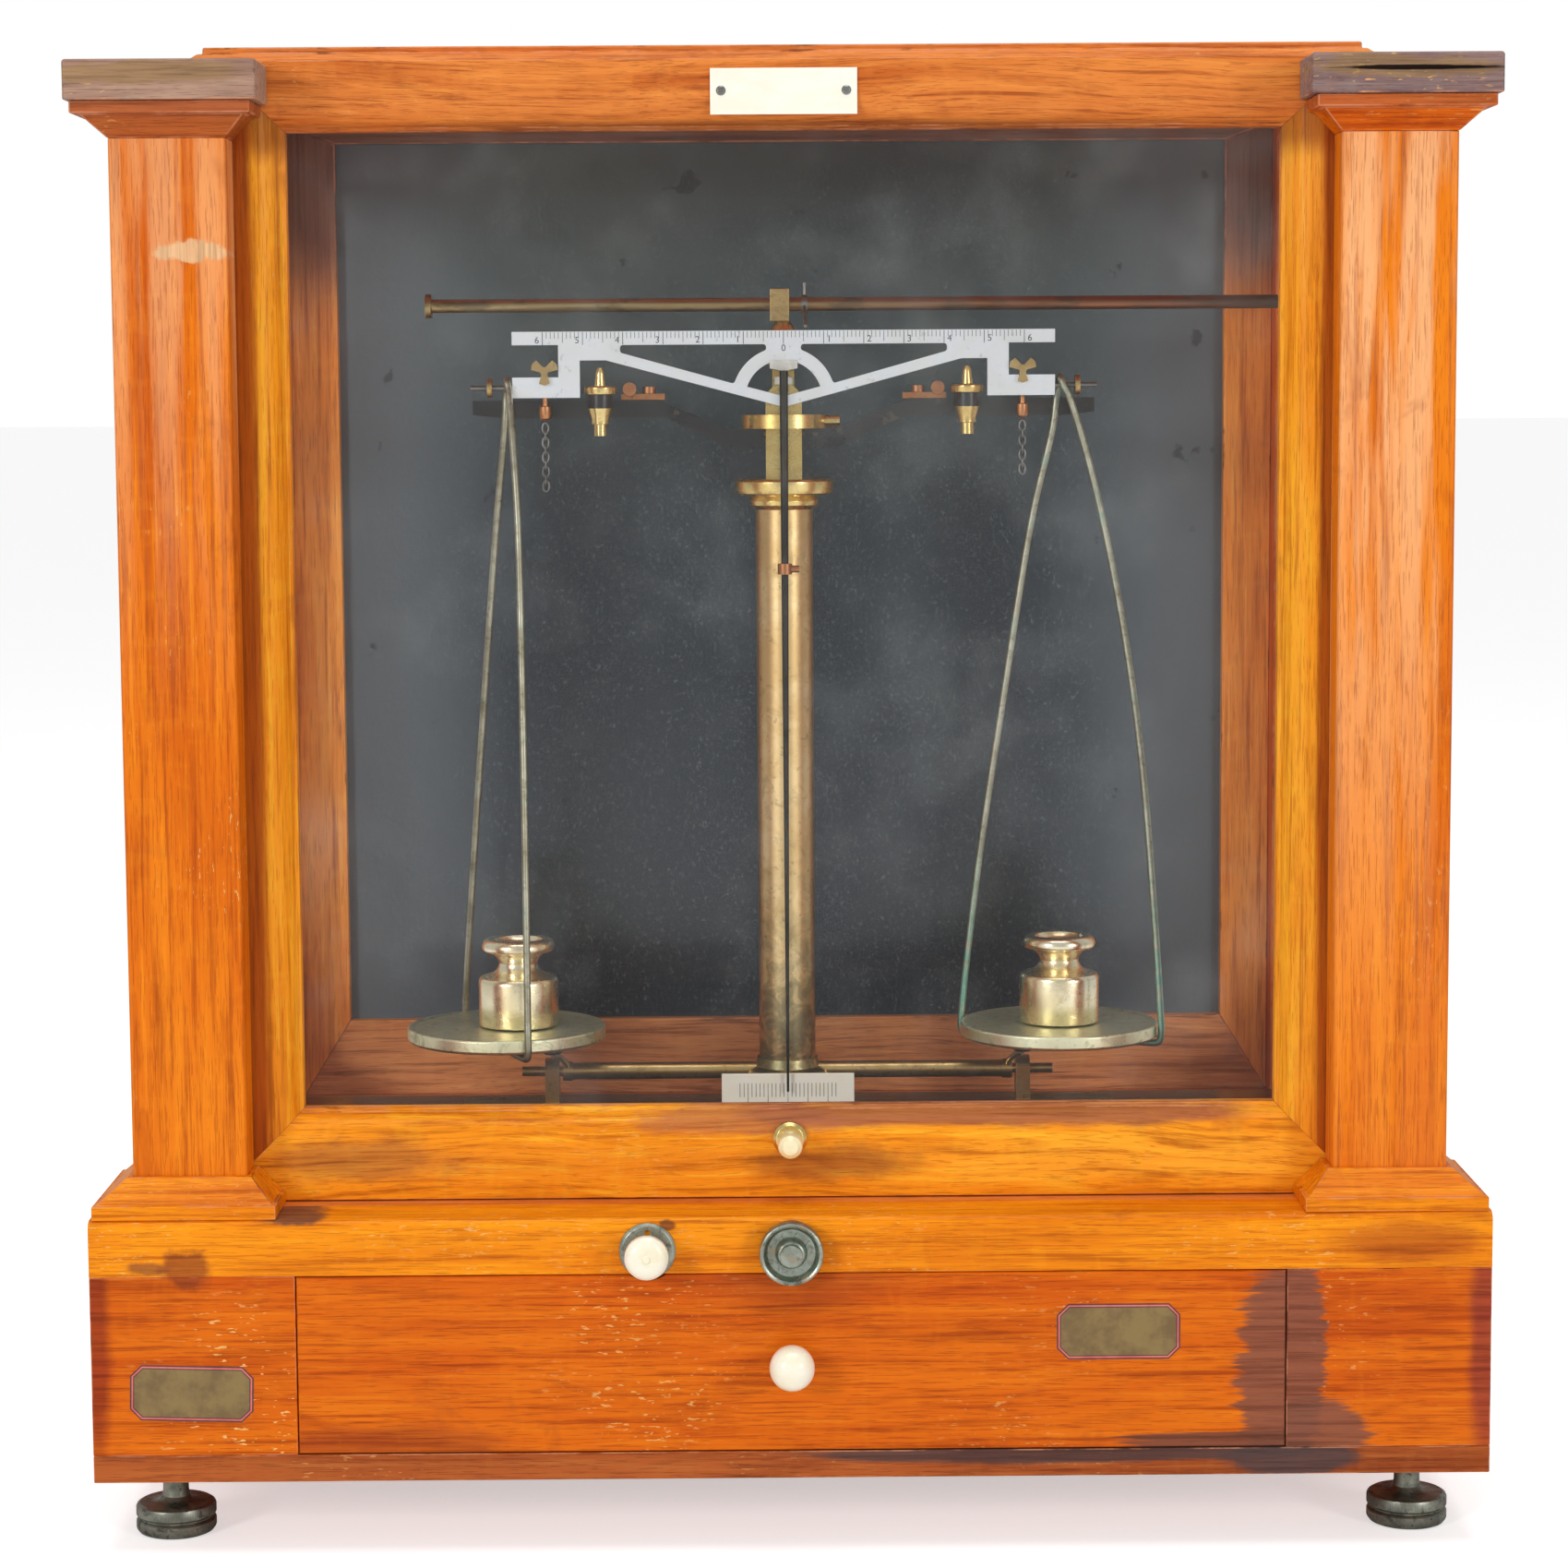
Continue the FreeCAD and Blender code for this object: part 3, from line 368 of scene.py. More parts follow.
def glaze(name, a, b, rough=0.45, s=120.0):
    m = Mat(name, Coat_Weight=0.15, Coat_Roughness=0.3)
    n = m.noise(m.map(scale=(s, s, s)), 1.0, 4, 0.65)
    n2 = m.noise(m.map(scale=(s * 9,) * 3), 1.0, 2, 0.5)
    return m.done(m.mix(m.step(n, 0.35, 0.65), lin(a), lin(b)), m.step(n, 0.2, 0.8, rough, rough + 0.15), m.bump(n2, 0.00003, 0.5))


M_BRASS = metal("aged_brass", (226, 198, 146), (206, 174, 120), (160, 136, 92), 0.40, 0.30, low=(0.118, 0.215, 0.0, (112, 112, 84)), turned=None, spots=0.45)
M_BRASS2 = metal("brass_small", (208, 180, 124), (184, 154, 100), (126, 106, 70), 0.5, 0.28)
M_POLISH = metal("polished_brass", (236, 212, 144), (220, 190, 116), (160, 138, 88), 0.35, 0.20, turned=2, spots=0.3)
M_GREEN = metal("green_brass", (248, 248, 212), (234, 234, 196), (142, 142, 112), 0.5, 0.34, turned=None, spots=0.35, patina=(134, 158, 138), pk=0.25)
M_WEIGHT = metal("weight_brass", (254, 246, 214), (248, 232, 188), (196, 156, 100), 0.30, 0.20, turned=2, spots=0.2)
M_COPPER = metal("copper_brass", (196, 138, 92), (168, 114, 76), (112, 82, 60), 0.5, 0.30)
M_STEEL = metal("hanger_wire", (176, 176, 156), (150, 148, 126), (116, 110, 88), 0.5, 0.36, spots=0.5, patina=(112, 158, 140), pk=0.30, scale=90)
M_STEEL_R = metal("hanger_wire_right", (178, 180, 162), (152, 152, 132), (116, 114, 94), 0.5, 0.36, spots=0.5, low=(0.15, 0.215, 0.0, (120, 176, 160)), patina=(118, 168, 150), pk=0.45, scale=110)
M_STEEL2 = metal("steel_small", (150, 150, 146), (120, 120, 116), (88, 84, 76), 0.5, 0.32)
M_BLUED = metal("blued_steel", (66, 62, 58), (50, 48, 46), (84, 70, 52), 0.4, 0.34)
M_FOOT = metal("foot_metal", (146, 148, 136), (112, 114, 104), (66, 64, 56), 0.7, 0.36, spots=0.6, patina=(128, 130, 112), pk=0.3, scale=110)
M_KNOB = metal("knob_metal", (170, 180, 168), (146, 152, 140), (100, 102, 92), 0.65, 0.34, spots=0.6, patina=(168, 142, 108), pk=0.85, scale=150)
M_ROD = Mat("rider_rod_metal", Metallic=1.0)
_x = M_ROD.xyz(0)
_n = M_ROD.noise(M_ROD.map(scale=(60, 200, 200)), 1.0, 4, 0.6)
_c = M_ROD.mix(M_ROD.step(_x, -0.06, 0.10), lin((170, 150, 104)), lin((148, 98, 70)))
_c = M_ROD.mix(M_ROD.step(_x, 0.10, 0.17), _c, lin((104, 98, 88)))
_c = M_ROD.mix(M_ROD.math("MULTIPLY", M_ROD.step(_n, 0.50, 0.62), 0.6), _c, lin((96, 84, 62)))
M_ROD = M_ROD.done(_c, M_ROD.step(_n, 0.2, 0.8, 0.28, 0.42), M_ROD.bump(_n, 0.00003, 0.5))
M_JAPAN = paint("black_japan", (24, 22, 23), (38, 33, 32), 0.24, chip=(70, 62, 50))
M_IVORY = ivory("ivory")
M_IVORY2 = ivory("ivory_plate", (248, 242, 222), (252, 248, 234), 0.06, 0.3)
M_IVORY_Y = ivory("ivory_handle", (242, 214, 140), (248, 236, 196), 0.2)
M_AGATE = glaze("agate", (190, 192, 186), (222, 222, 214), 0.15)
M_GLASS_F = glass("front_glass", [((-0.139, -0.0365, 0.406), (0.016, 0.02, 0.024), 0.16), ((-0.118, -0.0365, 0.400), (0.014, 0.02, 0.016), 0.10), ((0.08, -0.0365, 0.14), (0.05, 0.02, 0.006), 0.05)])
M_GLASS_S = glass("side_glass")
M_SLATE = slate("back_panel_lacquer")
M_ALU = aluminium("beam_aluminium")
M_INK = ink("scale_ink", (52, 50, 48))
M_INK2 = ink("scale_ink_beam", (40, 42, 46))
M_LABEL = [glaze("label_gold", (112, 88, 46), (136, 112, 62)), glaze("label_red", (212, 92, 88), (226, 116, 104)), glaze("label_edge", (72, 44, 46), (92, 58, 56))]


# ------------------------------------------------------------------ meshes
def obj_from(name, me, node=None, body=None):
    o = bpy.data.objects.new(name, me)
    COLL.objects.link(o)
    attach(o, body or BODY[node])
    return o


def parts_of(node):
    """The separate solids of a CAD node, each as (points, faces)."""
    me = NODE[node].data
    ids, pts, vid = {}, [], []
    for v in me.vertices:
        k = (round(v.co.x * 5e5), round(v.co.y * 5e5), round(v.co.z * 5e5))
        if k not in ids:
            ids[k] = len(pts)
            pts.append(tuple(v.co))
        vid.append(ids[k])
    faces = []
    for p in me.polygons:
        f = [vid[i] for i in p.vertices]
        if len(set(f)) == len(f):
            faces.append(f)
    edges = {}
    for fi, f in enumerate(faces):
        for a, b in zip(f, f[1:] + f[:1]):
            edges.setdefault((min(a, b), max(a, b)), []).append(fi)
    par = list(range(len(faces)))

    def find(i):
        while par[i] != i:
            par[i] = par[par[i]]
            i = par[i]
        return i

    for fl in edges.values():
        fl = sorted(fl)
        for j in range(0, len(fl) - 1, 2):
            par[find(fl[j])] = find(fl[j + 1])
    groups = {}
    for i in range(len(faces)):
        groups.setdefault(find(i), []).append(i)
    out = []
    for g in sorted(groups.values(), key=min):
        used, fs = {}, []
        for i in g:
            fs.append([used.setdefault(v, len(used)) for v in faces[i]])
        order = sorted(used, key=lambda v: used[v])
        out.append(([pts[v] for v in order], fs))
    return out


def mesh_of(name, pts, faces, sharp=32.0, dissolve=0.6):
    me = bpy.data.meshes.new(name)
    me.from_pydata(pts, [], faces)
    bm = bmesh.new()
    bm.from_mesh(me)
    if dissolve:
        bmesh.ops.dissolve_limit(bm, angle_limit=math.radians(dissolve), verts=bm.verts[:], edges=bm.edges[:], delimit=set())
    bmesh.ops.recalc_face_normals(bm, faces=bm.faces[:])
    for f in bm.faces:
        f.smooth = True
    bm.to_mesh(me)
    bm.free()
    me.set_sharp_from_angle(angle=math.radians(sharp))
    return me


def add_bevel(o, width, seg=2, angle=32.0, mat=-1, harden=True):
    b = o.modifiers.new("edge", "BEVEL")
    b.width = width
    b.segments = seg
    b.limit_method = "ANGLE"
    b.angle_limit = math.radians(angle)
    b.use_clamp_overlap = True
    b.material = mat
    b.miter_outer = "MITER_ARC"
    b.harden_normals = harden


def centre(pts):
    lo = [min(p[i] for p in pts) for i in range(3)]
    hi = [max(p[i] for p in pts) for i in range(3)]
    return lo, hi, [(a + b) / 2 for a, b in zip(lo, hi)]


def split(node, names=None, mats=None, bevel=0.2 * MM, seg=2, skip=(), dissolve=0.6):
    """New pieces with softened edges that stand for a CAD node, one for each of its solids."""
    made = []
    for i, (pts, faces) in enumerate(parts_of(node)):
        if i in skip:
            made.append(None)
            continue
        nm = "%s.%s" % (node, names[i] if names and i < len(names) else i + 1)
        o = obj_from(nm, mesh_of(nm, pts, faces, dissolve=dissolve), node)
        if mats is not None:
            ms = mats(i, *centre(pts)) if callable(mats) else mats
            for mm in (ms if isinstance(ms, (list, tuple)) else [ms]):
                o.data.materials.append(mm)
        if bevel:
            add_bevel(o, bevel, seg, mat=1 if len(o.data.materials) > 1 else -1)
        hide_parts(node)
        made.append(o)
    return made


def lathe(name, prof, at, axis="Z", node=None, mat=None, seg=96, knurl=None, bevel=0.12 * MM, body=None, replaces=True, sharp=28.0):
    """A turned piece. prof: (radius, height) in mm from one end to the other; knurl: (h0, h1, depth in mm)."""
    verts, faces, ring = [], [], []
    for r, h in prof:
        if r < 1e-6:
            ring.append([len(verts)])
            verts.append((0.0, 0.0, h))
        else:
            base = len(verts)
            for k in range(seg):
                rr = r
                if knurl and knurl[0] <= h <= knurl[1]:
                    rr = r - (knurl[2] if k % 2 else 0.0)
                a = 2 * math.pi * k / seg
                verts.append((rr * math.cos(a), rr * math.sin(a), h))
            ring.append(list(range(base, base + seg)))
    for a, b in zip(ring, ring[1:]):
        if len(a) == 1 and len(b) == 1:
            continue
        for k in range(seg):
            k2 = (k + 1) % seg
            if len(a) == 1:
                faces.append((a[0], b[k], b[k2]))
            elif len(b) == 1:
                faces.append((a[k], a[k2], b[0]))
            else:
                faces.append((a[k], a[k2], b[k2], b[k]))
    P = []
    for x, y, z in verts:
        if axis == "Y":
            x, y, z = x, z, y
        elif axis == "X":
            x, y, z = z, x, y
        P.append(((at[0] + x) * MM, (at[1] + y) * MM, (at[2] + z) * MM))
    me = mesh_of(name, P, faces, sharp=sharp, dissolve=0)
    o = obj_from(name, me, node, body)
    o.data.materials.append(mat)
    if bevel and not knurl:
        add_bevel(o, bevel, 2, 28.0)
    if node and replaces:
        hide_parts(node)
    return o


def catmull(P, n=8):
    P = [Vector(p) for p in P]
    Q = [P[0] * 2 - P[1]] + P + [P[-1] * 2 - P[-2]]
    out = []
    for i in range(1, len(Q) - 2):
        p0, p1, p2, p3 = Q[i - 1], Q[i], Q[i + 1], Q[i + 2]
        t0 = 0.0
        t1 = t0 + max((p1 - p0).length, 1e-6) ** 0.5
        t2 = t1 + max((p2 - p1).length, 1e-6) ** 0.5
        t3 = t2 + max((p3 - p2).length, 1e-6) ** 0.5
        for k in range(n):
            t = t1 + (t2 - t1) * k / n
            a1 = p0 * ((t1 - t) / (t1 - t0)) + p1 * ((t - t0) / (t1 - t0))
            a2 = p1 * ((t2 - t) / (t2 - t1)) + p2 * ((t - t1) / (t2 - t1))
            a3 = p2 * ((t3 - t) / (t3 - t2)) + p3 * ((t - t2) / (t3 - t2))
            b1 = a1 * ((t2 - t) / (t2 - t0)) + a2 * ((t - t0) / (t2 - t0))
            b2 = a2 * ((t3 - t) / (t3 - t1)) + a3 * ((t - t1) / (t3 - t1))
            out.append(b1 * ((t2 - t) / (t2 - t1)) + b2 * ((t - t1) / (t2 - t1)))
    out.append(P[-1])
    return out


def tube_data(path, r, n=14, closed=False, squash=1.0):
    path = [Vector(p) for p in path]
    N = len(path)
    verts, faces = [], []
    nrm = None
    for i, p in enumerate(path):
        a = path[(i - 1) % N] if (closed or i) else p
        b = path[(i + 1) % N] if (closed or i < N - 1) else p
        t = (b - a).normalized()
        if nrm is None:
            nrm = t.orthogonal().normalized()
        nrm = (nrm - t * nrm.dot(t)).normalized()
        bi = t.cross(nrm)
        for k in range(n):
            q = 2 * math.pi * k / n
            verts.append(tuple(p + (nrm * math.cos(q) + bi * math.sin(q) * squash) * r))
    last = N if closed else N - 1
    for i in range(last):
        for k in range(n):
            j, k2 = (i + 1) % N, (k + 1) % n
            faces.append((i * n + k, i * n + k2, j * n + k2, j * n + k))
    if not closed:
        faces.append(tuple(range(n - 1, -1, -1)))
        faces.append(tuple((N - 1) * n + k for k in range(n)))
    return verts, faces


def join_data(parts):
    V, F = [], []
    for v, f in parts:
        b = len(V)
        V += list(v)
        F += [tuple(i + b for i in q) for q in f]
    return V, F


def box_data(x0, x1, y0, y1, z0, z1):
    v = [(x, y, z) for x in (x0, x1) for y in (y0, y1) for z in (z0, z1)]
    f = [(0, 1, 3, 2), (4, 6, 7, 5), (0, 4, 5, 1), (2, 3, 7, 6), (0, 2, 6, 4), (1, 5, 7, 3)]
    return v, f


def dY(d):
    return d - 112.5


# ------------------------------------------------------------------ wood pieces
STAIN = (134, 82, 64)
BASE_BLOTS = [
    dict(c=(-0.181, -0.112, 0.0885), r=(0.008, 0.03, 0.0058), col=(146, 62, 30), fringe=0.4, freq=(120, 120, 120), soft=0.6, k=0.75),
    dict(c=(-0.192, -0.112, 0.0885), r=(0.006, 0.03, 0.0022), col=(130, 70, 44), fringe=0.4, freq=(120, 120, 120), soft=0.6, k=0.7),
    dict(c=(-0.2085, -0.112, 0.066), r=(0.004, 0.04, 0.045), col=(150, 48, 22), fringe=0.3, freq=(60, 60, 60), soft=0.9, k=0.8),
    dict(c=(0.2085, -0.112, 0.066), r=(0.0045, 0.04, 0.045), col=(150, 56, 44), fringe=0.3, freq=(60, 60, 60), soft=0.9, k=0.8),
]
WATER_R = [
    dict(c=(0.152, -0.112, 0.060), r=(0.0085, 0.06, 0.034), col=STAIN, fringe=0.30, freq=(40, 40, 620), soft=0.2, k=0.88),
    dict(c=(0.156, -0.112, 0.034), r=(0.017, 0.06, 0.013), col=STAIN, fringe=0.28, freq=(40, 40, 620), soft=0.2, k=0.88),
]
WATER_D = [
    dict(c=(0.1475, -0.112, 0.055), r=(0.0135, 0.06, 0.034), col=STAIN, fringe=0.34, freq=(40, 40, 620), soft=0.2, k=0.88),
    dict(c=(0.140, -0.112, 0.0315), r=(0.046, 0.06, 0.0052), col=(124, 74, 56), fringe=0.3, freq=(26, 26, 500), soft=0.2, k=0.92),
    dict(c=(-0.120, -0.112, 0.034), r=(0.035, 0.06, 0.006), col=(150, 62, 28), fringe=0.3, freq=(30, 30, 200), soft=0.6, k=0.5),
    dict(c=(0.0, -0.112, 0.0855), r=(0.03, 0.06, 0.010), col=(150, 62, 24), fringe=0.2, freq=(40, 40, 100), soft=0.9, k=0.45),
]
WATER_B = [
    dict(c=(0.08, -0.112, 0.0305), r=(0.075, 0.06, 0.0035), col=(88, 66, 62), fringe=0.25, freq=(30, 30, 200), soft=0.4, k=0.9),
    dict(c=(0.150, -0.112, 0.0285), r=(0.02, 0.06, 0.006), col=(84, 66, 64), fringe=0.25, freq=(60, 60, 100), soft=0.4, k=0.9),
]


def base_mats(i, lo, hi, c):
    k = ["base_top_rail", "base_bottom_rail", "base_end_l", "base_end_r"][i] if i < 4 else "base_x%d" % i
    if i in (2, 3):
        k = "base_end_l" if c[0] < 0 else "base_end_r"
    kw = {
        "base_top_rail": dict(tone="yellow", blots=[BASE_BLOTS[0], BASE_BLOTS[1],
              dict(c=(-0.037, -0.112, 0.1005), r=(0.0022, 0.03, 0.0014), col=(120, 62, 40), fringe=0.4, freq=(130, 130, 130), soft=0.6, k=0.8),
              dict(c=(-0.149, -0.112, 0.1035), r=(0.009, 0.03, 0.0022), col=(86, 58, 60), fringe=0.3, freq=(130, 130, 130), soft=0.6, k=0.8),
              dict(c=(0.185, -0.112, 0.094), r=(0.02, 0.03, 0.006), col=(170, 66, 20), fringe=0.3, freq=(60, 60, 90), soft=0.9, k=0.6)], nick=0.6),
        "base_bottom_rail": dict(tone="brown", blots=WATER_B, nick=0.35, streak=0.9),
        "base_end_l": dict(tone="orange", blots=[BASE_BLOTS[0], BASE_BLOTS[1], BASE_BLOTS[2]], nick=1.0),
        "base_end_r": dict(tone="orange", blots=WATER_R + [BASE_BLOTS[3]], nick=0.35),
    }.get(k, dict(tone="orange"))
    return [wood(k, 0, i + 1, **kw), wood(k, 0, i + 1, worn=True, **kw)]


split("base_front_frame", ["top_rail", "bottom_rail", "end_1", "end_2"], base_mats, 0.35 * MM, 2)


def axis_of(lo, hi):
    s = [b - a for a, b in zip(lo, hi)]
    return s.index(max(s))


def generic(key, tone, seed0=10, **kw):
    def f(i, lo, hi, c):
        ax = axis_of(lo, hi)
        k = "%s_%d" % (key, i)
        return [wood(k, ax, seed0 + i * 1.7, tone, **kw), wood(k, ax, seed0 + i * 1.7, tone, worn=True, **kw)]
    return f


split("base_carcass", None, generic("carcass", "orange", 20, nick=0.5), 0.8 * MM)
split("case_floor", None, generic("floor", "red", 30), 0.4 * MM)
split("drawer_runners", None, generic("runner", "plain", 33, coat=0.0, gloss=0.5), 0.4 * MM)
split("rear_feet", None, generic("rearfeet", "brown", 36), 0.3 * MM)
split("front_pillars", ["a", "b"], lambda i, lo, hi, c: [
    wood("pillar_%s" % ("l" if c[0] < 0 else "r"), 2, 41 + (c[0] > 0) * 5, "pillar", worn=w, nick=0.8 if c[0] < 0 else 0.3,
         pink=(0.24, 0.40, 0.0, 0.55) if c[0] < 0 else (0.14, 0.37, 0.05, 0.9), waviness=0.5,
         blots=[dict(c=(-0.1735, -0.101, 0.390), r=(0.010, 0.03, 0.003), col=(238, 196, 148), fringe=0.5, freq=(260, 260, 260), soft=0.4, k=0.8)] if c[0] < 0 else [])
    for w in (False, True)], 0.3 * MM)
split("pillar_foot_mouldings", None, generic("footm", "yellow", 50), 0.3 * MM)


def cap_mats(i, lo, hi, c):
    slab = hi[2] > 0.4345
    side = "r" if c[0] > 0 else "l"
    if slab:
        bl = [dict(c=(c[0] - 0.004, -0.112, 0.441), r=(0.030, 0.06, 0.0032), col=(158, 124, 84), fringe=0.5, freq=(60, 60, 120), soft=0.6, k=0.75)]
        if side == "r":
            # painted shadow: thin dark line across the right slab, standing in for the shaded gap under it
            bl.append(dict(c=(0.184, -0.112, 0.4405), r=(0.024, 0.03, 0.0007), col=(28, 16, 12), fringe=0.2, freq=(90, 90, 240), soft=0.5, k=1.0))
        kw = dict(tone="dark" if side == "l" else "dark_r", nick=0.9, gloss=0.46, coat=0.05, blots=bl)
    else:
        kw = dict(tone="brown" if side == "l" else "orange", nick=0.5,
                  blots=[dict(c=(c[0], -0.11, 0.4315), r=(0.04, 0.06, 0.0028), col=(190, 104, 62), fringe=0.3, soft=0.5, k=0.6)])
    k = "cap_%s%d" % (side, slab)
    return [wood(k, 0, 60 + i * 2.3, worn=w, **kw) for w in (False, True)]


split("capitals", None, cap_mats, 0.5 * MM)


def sash_mats(i, lo, hi, c):
    ax = axis_of(lo, hi)
    if ax == 2:
        k = "sash_stile_%s" % ("l" if c[0] < 0 else "r")
        kw = dict(tone="gold", streak=1.15, nick=0.3, pink=(0.36, 0.43, 0.0, 0.15),
                  # painted shadow of the capital: darker patch at the top of each stile
                  blots=[dict(c=(c[0], -0.08, 0.428), r=(0.03, 0.05, 0.009), col=(150, 74, 28), fringe=0.15, soft=1.0, k=0.7),
                         # painted shadow of the pillar: dark band down the outer side of each stile
                         dict(c=(-0.1625 if c[0] < 0 else 0.1635, -0.085, 0.27), r=(0.0046 if c[0] < 0 else 0.0034, 0.05, 0.30), col=(160, 62, 8), fringe=0.10, soft=0.7, k=0.85)])
    elif c[2] < 0.2:
        k = "sash_rail_low"
        kw = dict(tone="gold", wave=0.012, streak=1.2, nick=0.4, fine=0.7,
                  blots=[dict(c=(0.014, -0.085, 0.114), r=(0.022, 0.04, 0.0055), col=(128, 62, 38), fringe=0.4, freq=(60, 60, 130), soft=0.9, k=0.6),
                         dict(c=(0.06, -0.085, 0.1285), r=(0.075, 0.04, 0.004), col=(148, 78, 66), fringe=0.3, freq=(40, 40, 160), soft=0.6, k=0.75),
                         dict(c=(-0.015, -0.085, 0.127), r=(0.03, 0.04, 0.0045), col=(176, 104, 74), fringe=0.3, freq=(60, 60, 160), soft=0.6, k=0.6),
                         dict(c=(-0.13, -0.085, 0.116), r=(0.03, 0.04, 0.006), col=(140, 72, 54), fringe=0.4, freq=(60, 60, 130), soft=0.8, k=0.5)])
    else:
        k = "sash_rail_top"
        kw = dict(tone="red", streak=1.1, nick=0.4, wave=0.01,
                  # painted shade: dark band along the lower edge of the top rail
                  blots=[dict(c=(0.0, -0.085, 0.4255), r=(0.15, 0.04, 0.003), col=(92, 44, 28), fringe=0.2, soft=0.8, k=0.6)])
    return [wood(k, ax, 70 + ax * 3 + (c[0] > 0.05) * 2 + (c[2] > 0.3), worn=w, **kw) for w in (False, True)]


split("sash_frame", None, sash_mats, 0.3 * MM)
split("drawer_front", None, lambda i, lo, hi, c: [wood("drawer", 0, 81, "orange", worn=w, nick=0.6, blots=WATER_D, streak=1.1) for w in (False, True)], 0.25 * MM)
split("drawer_box", None, generic("drawerbox", "plain", 84, coat=0.0, gloss=0.5, nick=0.1), 0.4 * MM)
split("roof_board", None, lambda i, lo, hi, c: [wood("roof", 0, 90, "red", worn=w, nick=0.4,
      blots=[dict(c=(-0.02, -0.07, 0.442), r=(0.17, 0.02, 0.004), col=(134, 66, 44), fringe=0.3, soft=0.7, k=0.5)]) for w in (False, True)], 0.6 * MM)
split("rear_posts", None, generic("rpost", "orange", 92), 0.8 * MM)
split("side_frames", None, generic("sidef", "inside", 95, nick=0.1), 0.5 * MM)


def back_mats(i, lo, hi, c):
    ax = axis_of(lo, hi)
    low = ax == 0 and c[2] < 0.2
    k = "backf_%d" % i
    kw = dict(tone="brail" if low else "inside", streak=1.2, wave=0.01 if low else 0.0, nick=0.1,
              # painted shade: the stiles and top rail turn darker purple-grey towards the top
              blots=[] if low else [dict(c=(c[0], 0.1, 0.430), r=(0.4 if ax == 0 else 0.03, 0.1, 0.048), col=(96, 70, 70), fringe=0.1, freq=(20, 20, 20), soft=1.0, k=0.85)])
    return [wood(k, ax, 110 + i, worn=w, **kw) for w in (False, True)]


split("back_frame", None, back_mats, 0.5 * MM)
split("instrument_board", None, lambda i, lo, hi, c: [wood("board", 0, 120, "ebony", worn=w, nick=0.1, gloss=0.14, coat=0.6) for w in (False,)] * 1, 0.9 * MM)

# ------------------------------------------------------------------ panes and panel
for n, mat in (("sash_glass", M_GLASS_F), ("side_glass", M_GLASS_S), ("back_panel", M_SLATE), ("pan_arrest_spring", M_STEEL2)):
    o = NODE[n]
    o.data.materials.clear()
    o.data.materials.append(mat)

# ------------------------------------------------------------------ feet
FOOT = [(0, 0), (10.6, 0), (11.4, .35), (12.05, 1.2), (12.25, 1.7), (12.25, 3.7), (11.9, 4.2), (11.35, 4.5), (11.35, 4.9), (11.9, 5.2), (12.25, 5.7), (12.25, 8.1), (11.9, 8.8),
        (11.0, 9.35), (9.0, 9.4), (6.2, 9.5), (5.0, 10.1), (4.2, 11.2), (3.95, 13), (3.9, 15.5), (4.1, 17.6), (4.4, 19.2), (3.0, 19.2), (3.0, 42), (0, 42)]
for nm, x in (("levelling_foot_left", -190), ("levelling_foot_right", 190)):
    lathe(nm + ".turned", FOOT, (x, dY(28), 0), "Z", nm, M_FOOT, seg=200, knurl=(1.5, 8.3, 0.11))
BUSH = [(3.06, 19.6), (5.8, 19.6), (6.4, 20.0), (7.4, 20.9), (9.6, 21.6), (11.5, 22.0), (11.5, 23.0), (3.06, 23.0), (3.06, 19.6)]
for nm, x in (("foot_bushes.left", -190), ("foot_bushes.right", 190)):
    lathe(nm, BUSH, (x, dY(28), 0), "Z", "foot_bushes", M_FOOT, seg=72)

# ------------------------------------------------------------------ knobs and buttons
DK = [(0, -15), (1.8, -14.85), (3.6, -14.3), (5.2, -13.2), (6.25, -11.6), (6.7, -9.8), (6.75, -8.0), (6.5, -6.0), (5.8, -4.0), (4.9, -2.6), (4.35, -1.4), (4.3, 0), (3.2, 0), (3.2, 14), (0, 14)]
lathe("drawer_knob.turned", DK, (0, dY(0), 59), "Y", "drawer_knob", M_IVORY, seg=72)
for i, o in enumerate(split("sash_knob", None, None, 0.12 * MM)):
    o.data.materials.append(M_IVORY_Y if i == 0 else M_POLISH)
for i, o in enumerate(split("name_plate", None, None, 0.12 * MM)):
    o.data.materials.append(M_IVORY2 if i == 0 else M_STEEL2)
KD = [(2.5, -1.2), (8.4, -1.4), (9.2, -1.9), (9.6, -2.7), (9.6, -6.2), (9.35, -6.9), (8.85, -7.2), (8.3, -6.9), (7.95, -6.2), (7.6, -5.0), (7.2, -4.5), (6.0, -4.35), (4.9, -4.3), (4.45, -4.8), (4.25, -6.4), (3.9, -7.1), (3.4, -7.4), (2.5, -7.4), (2.5, -1.2)]
knob_parts = split("arrest_knob", ["disc", "spindle"], M_KNOB, 0.15 * MM, skip=(0,))
lathe("arrest_knob.turned", KD, (0, dY(0), 93), "Y", "arrest_knob", M_KNOB, seg=160, knurl=(-6.3, -2.6, 0.13))
for i, o in enumerate(split("pan_arrest_button", ["button", "stem"], None, 0.12 * MM)):
    o.data.materials.append(M_IVORY if i == 0 else M_BRASS2)

